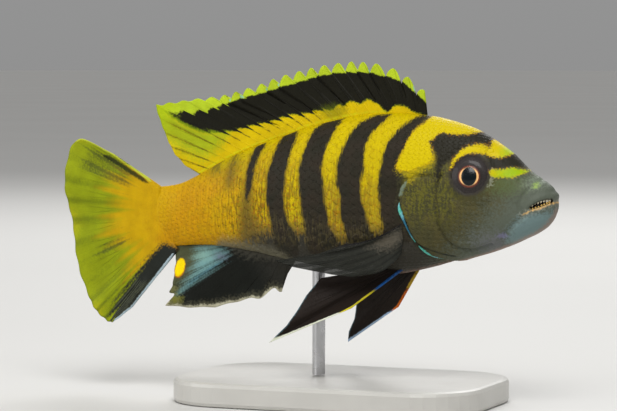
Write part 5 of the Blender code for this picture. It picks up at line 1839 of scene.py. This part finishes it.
def mark_anal(mesh, points, ray, reach):
    places = points[:, [0, 2]]
    s, z = places.T
    rim = anal.at(np.linspace(0.9, 6.2, 70), np.ones(70))[:, [0, 2]]
    edge = line_distance(places, rim)
    wander = 0.12 * np.sin(s * 2.3) + 0.1 * np.sin(s * 5.1 + 1.0) - 0.3 * np.exp(-((s - 67.7) / 3.0) ** 2)
    store(mesh, "cream", edge - 0.32 + wander)
    store(mesh, "cream_glow", edge - 0.95 + wander)
    spot = outline_distance(places, smooth_outline(EGG_SPOT))
    store(mesh, "egg", spot)
    store(mesh, "egg_rim", spot - 0.12 + 0.06 * (z + 14.5))
    streaks = 0.4 + 0.35 * np.cos(2 * np.pi * ray) + 0.25 * np.cos(6.3 * np.pi * ray + 3 * reach)
    sheen = outline_distance(places, smooth_outline(ANAL_SHEEN))
    store(mesh, "sheen", sheen + streaks)
    store(mesh, "sheen_line", np.abs(ray - 7.6 + 1.1 * reach + 0.1 * np.sin(9 * reach)) * 1.6 - 0.25
          + 2.0 * smooth_step(reach, 0.75, 1.0) + 2.0 * smooth_step(sheen, 0.0, 1.2))
    store(mesh, "root_haze", (reach - 0.1) * 9 + 0.2 * np.cos(2 * np.pi * ray))
    store(mesh, "front_grey", s - 58.0 - 0.8 * (z + 13.0))
    store(mesh, "sheen_pale", np.hypot((s - 70.3) * 0.5, z + 12.2) - 0.6)
    store(mesh, "sheen_lilac", np.hypot((s - 66.6) * 0.6, z + 12.3) - 0.6)
    store(mesh, "rear_grey", np.maximum(69.6 - s - 0.9 * (z + 13.0), 7.0 - ray))
    store(mesh, "rear_streak", 0.5 - np.abs(ray % 1 - 0.5) + 2 * smooth_step(8.2 - ray, 0, 1))
    store(mesh, "olive_tip", np.hypot((s - 76.6) * 0.7, z + 21.2) - 1.3)
    store(mesh, "upper_tip", np.hypot((s - 76.6) * 0.8, z + 18.9) - 0.8)


anal_paint = fin_material("anal_fin", srgb(22, 24, 20), [
    ("front_grey", srgb(60, 58, 52), 11.0, 0.8, 0.6),
    ("root_haze", srgb(82, 80, 70), 1.6, 0.3, 0.75),
    ("rear_grey", srgb(88, 92, 64), 2.6, 0.5, 0.85),
    ("rear_streak", srgb(60, 62, 44), 0.5, 0.15, 0.6),
    ("sheen", srgb(122, 166, 166), 3.4, 0.3, 0.9),
    ("sheen_line", srgb(94, 148, 166), 1.2, 0.2, 0.45),
    ("sheen_pale", srgb(150, 190, 172), 2.2, 0.3, 0.5),
    ("sheen_lilac", srgb(114, 120, 148), 1.6, 0.3, 0.6),
    ("olive_tip", srgb(126, 124, 46), 1.8, 0.4, 0.9),
    ("upper_tip", srgb(112, 112, 70), 1.2, 0.3, 0.8),
    ("cream_glow", srgb(84, 82, 66), 1.3, 0.4, 0.6),
    ("cream", srgb(190, 186, 160), 0.55, 0.14, 0.85),
    ("egg_rim", srgb(206, 120, 8), 0.4, 0.06, 0.9),
    ("egg", srgb(252, 222, 0), 0.35, 0.06, 1.0),
])
make_fin("anal_fin", anal, "fin_anal", "anal", 4, (0.22, 0.08), anal_paint, mark_anal, per_gap=10, rows=30,
         thick=0.2)

# %% [markdown]
# ## Tail fin
# The tail fin fans out from the slanting end of the tail. It is orange at the root and lime towards the
# edge, with smoky streaks between the rays of both lobes and a black wedge along the lower edge.

# %% Tail fin
TAIL_RAYS = 16
TAIL_RAY_ROOTS = ((80.2, 0.5), (80.0, -2.5), (79.5, -6.0), (78.2, -9.0), (76.6, -11.0))
TAIL_EDGE = (
    (89.0, 6.9), (96.3, 9.8), (98.8, 7.0), (99.6, 1.6), (99.0, -2.5), (98.0, -7.2), (97.2, -12.0),
    (96.2, -17.0), (94.4, -21.4), (92.9, -23.4), (91.2, -25.2), (89.8, -25.75), (88.2, -25.0), (85.4, -22.8),
)


def evenly(line, count):
    """Points at even steps of a smooth curve through the line's points."""
    line = np.asarray(line, float)
    where = np.linspace(0, len(line) - 1, count)
    return np.stack([curve_through(range(len(line)), line[:, k])(where) for k in range(line.shape[1])],
                    axis=-1)


tail_roots, tail_tips = evenly(TAIL_RAY_ROOTS, TAIL_RAYS), evenly(TAIL_EDGE, TAIL_RAYS)
tail = FinForm(
    np.insert(tail_roots - (1.2, 0), 1, 0.0, axis=1), np.insert(tail_tips, 1, 0.0, axis=1),
    lambda u: 0.2 * np.sin(np.pi * (u % 1)) ** 2, wave=0.3, round_edge=True)
TAIL_BLACK = ((77.0, -10.4), (78.7, -10.3), (80.3, -11.8), (82.4, -13.9), (84.8, -16.9), (87.0, -19.7),
              (88.6, -22.0), (89.5, -25.2), (86.0, -26.0), (80.0, -20.0), (75.0, -12.0))


def mark_tail(mesh, points, ray, reach):
    s, _, z = points.T
    places = points[:, [0, 2]]
    between_rays = 1 - np.abs((ray % 1) - 0.5) * 2
    store_ground(mesh, points)
    store(mesh, "yellow_fan", np.hypot(s - 79.5, (z + 4.2) * 0.85) - 10.0 + 1.2 * np.cos(2 * np.pi * ray)
          + 1.3 * np.sin(ray * 1.7) + 0.9 * np.sin(ray * 10.0 + 1.0))
    store(mesh, "root", s - tail_root_at(-z) - 3.2 + 0.8 * np.cos(2 * np.pi * ray))
    upper = smooth_step(-np.abs(ray - 1.9), -1.7, -0.4) * smooth_step(reach, 0.15, 0.45)
    upper = upper * (1 - smooth_step(reach, 0.72, 0.98))
    middle = smooth_step(-np.abs(ray - 7.4), -0.8, -0.2) * smooth_step(reach, 0.35, 0.5)
    middle = middle * (1 - smooth_step(reach, 0.65, 0.9))
    lower = (smooth_step(ray, 9.5, 12.5) * smooth_step(reach, 0.25, 0.5)
             * (1 - 0.5 * smooth_step(reach, 0.8, 1.0)))
    amount = np.maximum.reduce([0.9 * upper, 0.7 * middle, 1.05 * lower])
    ripple = 0.2 * np.sin(ray * 17.0 + 4 * reach) + 0.12 * np.sin(ray * 41.0)
    store(mesh, "streak", 1.1 - 1.05 * amount - 0.55 * between_rays + ripple)
    store(mesh, "faint_streak", 0.75 - between_rays * (0.5 + 0.4 * smooth_step(reach, 0.3, 0.6))
          + 0.25 * np.sin(ray * 5.3))
    top = line_distance(places, tail.edge_line(0, 1.5)[:, [0, 2]])
    bottom = line_distance(places, tail.edge_line(TAIL_RAYS - 1, TAIL_RAYS - 2.6)[:, [0, 2]])
    ends = 1.2 * smooth_step(np.abs(s - 86.5), 3.6, 7.0)
    store(mesh, "top_shade", np.abs(top - 0.62 - 0.07 * (s - 82)) - 0.42 + ends)
    store(mesh, "top_edge", top - 0.24 + smooth_step(81.5 - s, 0, 2))
    wedge = outline_distance(places, smooth_outline(TAIL_BLACK)) + 0.8 * np.sin(ray * 9.0) * reach
    store(mesh, "black", wedge)
    twigs = np.abs((ray * 2.6 + 0.3 * np.sin(7 * reach)) % 1 - 0.5)
    light = 0.42 - 1.5 * twigs + 1.5 * smooth_step(0.55 - reach, 0, 0.3)
    store(mesh, "wedge_light", np.maximum(light, wedge + 0.2))
    store(mesh, "pale_edge", bottom - 0.2 - 0.1 * reach + 1.0 * smooth_step(0.1 - reach, 0, 0.08))
    store(mesh, "outer", (0.94 - reach) * 15 + 0.8 * np.sin(ray * 2.2))
    store(mesh, "hind_patch", (0.97 - reach) * 15 + 2.5 - 2.6 * np.sin(ray * 1.3 + 0.6))


tail_paint = fin_material("tail_fin", srgb(140, 152, 16), [
    ("outer", srgb(158, 168, 22), 4.0, 0.6, 0.75),
    ("hind_patch", srgb(192, 176, 14), 3.5, 0.5, 0.6),
    ("faint_streak", srgb(106, 118, 14), 0.8, 0.15, 0.75),
    ("yellow_fan", srgb(198, 158, 2), 6.5, 0.5, 0.95),
    ("streak", srgb(70, 78, 34), 1.0, 0.2, 0.75),
    ("root", GROUND, 6.0, 0.8, 1.0),
    ("top_shade", srgb(30, 33, 18), 0.5, 0.08, 0.9),
    ("black", srgb(37, 40, 36), 1.4, 0.3, 1.0),
    ("wedge_light", srgb(92, 96, 74), 0.4, 0.1, 0.6),
    ("pale_edge", srgb(176, 196, 206), 0.22, 0.05, 0.95),
    ("top_edge", srgb(190, 200, 64), 0.25, 0.05, 0.9),
], ray_dark=0.12)
make_fin("tail_fin", tail, "fin_tail", "tail", 0, (0.3, 0.09), tail_paint, mark_tail, per_gap=10, rows=44,
         thick=0.4)

# %% [markdown]
# ## Paired fins
# The pectoral fins are clear and smoky over dark rays. The pelvic fins are brown-black, each with a bright
# leading edge whose colour changes from root to tip, and the photo shows the two held at different angles.

# %% Paired fins
PECTORAL_ROOT = ((28.6, -5.0), (28.5, -7.6), (29.1, -10.2))
PECTORAL_TIPS = (
    (37.9, -8.6, -8.7), (43.0, -9.2, -10.6), (47.8, -9.6, -11.5), (51.2, -10.0, -12.0), (47.8, -10.1, -13.0),
    (44.0, -10.0, -13.7), (40.2, -9.7, -14.3), (36.3, -9.1, -14.6), (32.6, -8.1, -14.1),
)
PELVIC_ROOT = ((27.9, -2.0, -13.6), (29.6, -2.6, -13.7), (31.6, -3.1, -13.8))
PELVIC_ROOT_SHIFT = 0.8
PELVIC_TIPS = {
    -1: ((37.0, -8.5, -20.6), (51.8, -11.5, -27.1), (48.6, -10.6, -23.9), (47.1, -9.6, -21.4),
         (45.7, -8.2, -18.4), (43.8, -5.8, -15.4)),
    1: ((33.7, -8.0, -21.6), (45.7, -13.0, -29.1), (45.0, -12.0, -26.9), (43.5, -10.8, -24.4),
        (42.6, -9.3, -21.6), (40.6, -7.2, -18.0)),
}


def mark_pectoral(mesh, points, ray, reach):
    across = np.abs((ray % 1) - 0.5) * 2
    store(mesh, "dark_ray", 0.6 - across + 0.15 * np.sin(ray * 4.1 + 9 * reach))
    store(mesh, "top_dark", ray * 2.0 - 0.7)
    store(mesh, "root_pale", np.hypot(reach * 9 - 0.9, (ray - 3.0) * 0.6) - 1.2)
    store(mesh, "cover", 0.5 * across + 0.7 * (1 - smooth_step(reach, 0.3, 0.9)))


def along_line(points, line):
    """For each point in space: its distance to a line, and how far along the line it is, from 0 to 1."""
    steps = np.concatenate([[0], np.cumsum(np.linalg.norm(np.diff(line, axis=0), axis=1))])
    best, share = np.full(len(points), np.inf), np.zeros(len(points))
    for start, end, before, after in zip(line[:-1], line[1:], steps[:-1], steps[1:]):
        along = end - start
        part = np.clip((points - start) @ along / max(along @ along, 1e-9), 0, 1)
        distance = np.linalg.norm(points - start - part[:, None] * along, axis=1)
        nearer = distance < best
        best[nearer] = distance[nearer]
        share[nearer] = (before + part[nearer] * (after - before)) / steps[-1]
    return best, share


def mark_pelvic(fin):
    """Stores where the bright leading edge and the thin trailing line of one pelvic fin are."""
    leading_line, trailing_line = fin.edge_line(0, 1), fin.edge_line(fin.count - 1, 1)

    def mark(mesh, points, ray, reach):
        distance, share = along_line(points, leading_line)
        edge = distance - 0.26 - 0.22 * share
        store(mesh, "leading", np.maximum(edge, (0.5 - share) * 8))
        store(mesh, "leading_middle", np.maximum(edge, (np.abs(share - 0.38) - 0.14) * 8))
        store(mesh, "leading_start", np.maximum(edge, (share - 0.24) * 8))
        distance, share = along_line(points, trailing_line)
        store(mesh, "trailing", distance - 0.16 + 2 * smooth_step(0.5 - share, 0, 0.2))

    return mark


pectoral_paint = fin_material("pectoral_fin", srgb(46, 47, 42), [
    ("dark_ray", srgb(27, 28, 25), 0.9, 0.2, 0.6),
    ("top_dark", srgb(30, 28, 30), 1.2, 0.3, 0.8),
    ("root_pale", srgb(100, 94, 82), 2.0, 0.5, 0.75),
], ray_dark=0.15, alpha=0.72)


def pelvic_material(name, start_colour, middle_colour, end_colour):
    """Brown-black with a bright leading edge whose colour changes from the root to the tip."""
    return fin_material(name, srgb(36, 29, 25), [
        ("trailing", srgb(98, 134, 146), 0.3, 0.08, 0.7),
        ("leading_start", start_colour, 0.25, 0.05, 1.0),
        ("leading_middle", middle_colour, 0.25, 0.05, 1.0),
        ("leading", end_colour, 0.22, 0.05, 0.95),
    ])


PELVIC_PAINTS = {
    -1: pelvic_material("pelvic_fin_right", srgb(36, 104, 186), srgb(220, 206, 44), srgb(222, 226, 206)),
    1: pelvic_material("pelvic_fin_left", srgb(226, 188, 60), srgb(224, 112, 30), srgb(178, 206, 240)),
}
for side, word in ((1, "left"), (-1, "right")):
    root_s, root_z = np.array(PECTORAL_ROOT).T
    root_line = np.stack([root_s - 1.0, (flank_at(root_s, root_z) - 0.2) * side, root_z], axis=-1)
    pectoral = FinForm(evenly(root_line, 9), [(s, -y * side, z) for s, y, z in PECTORAL_TIPS],
                       bow=(0, 0.6 * side, -0.9), wave=0.12)
    make_fin("pectoral_fin_" + word, pectoral, "fin_pectoral_" + word, "pectoral", 1, (0.15, 0.05),
             pectoral_paint, mark_pectoral, per_gap=6, rows=26)
    root_line = [(s - PELVIC_ROOT_SHIFT * side, -y * side, z + 0.4) for s, y, z in PELVIC_ROOT]
    pelvic = FinForm(evenly(root_line, 6), [(s, -y * side, z) for s, y, z in PELVIC_TIPS[side]], wave=0.15)
    make_fin("pelvic_fin_" + word, pelvic, "fin_pelvic_" + word, "pelvic", 1, (0.3, 0.08),
             PELVIC_PAINTS[side], mark_pelvic(pelvic), per_gap=8, rows=30)

# %% [markdown]
# ## The stand and the floor
# The base and the rod are the CAD's own nodes, because their shapes are right, and only get a finish: satin
# lacquer with the faint unevenness of sprayed paint, and drawn steel. The floor is a plain pale sheet.

# %% Stand and floor
def studio_material(name, colour, roughness, metallic=0.0, grain_size=0.2, uneven=0.08):
    material, tree, shader = new_material(name, roughness)
    blotches = fish_grain(tree, grain_size)[2]
    tint = mixed(tree, times(tree, blotches, uneven), colour, srgb(120, 118, 114))
    shader.inputs["Metallic"].default_value = metallic
    dress(tree, shader, tint, maths(tree, "MULTIPLY_ADD", blotches, uneven, roughness - uneven / 2))
    return material


def finish_node(name, material):
    node = bpy.data.objects[name]
    node.data.materials.clear()
    node.data.materials.append(material)


finish_node("stand_base", studio_material("stand_lacquer", srgb(196, 194, 188), 0.35, grain_size=0.5))
finish_node("stand_rod", studio_material("drawn_steel", srgb(190, 190, 192), 0.28, 1.0, grain_size=0.8))
bpy.ops.mesh.primitive_plane_add(size=60.0)
floor = bpy.context.object
floor.name = "floor"
floor.data.materials.append(studio_material("floor_paper", srgb(208, 207, 204), 0.8, grain_size=0.01,
                                            uneven=0.04))
print("stand nodes finished, floor laid")
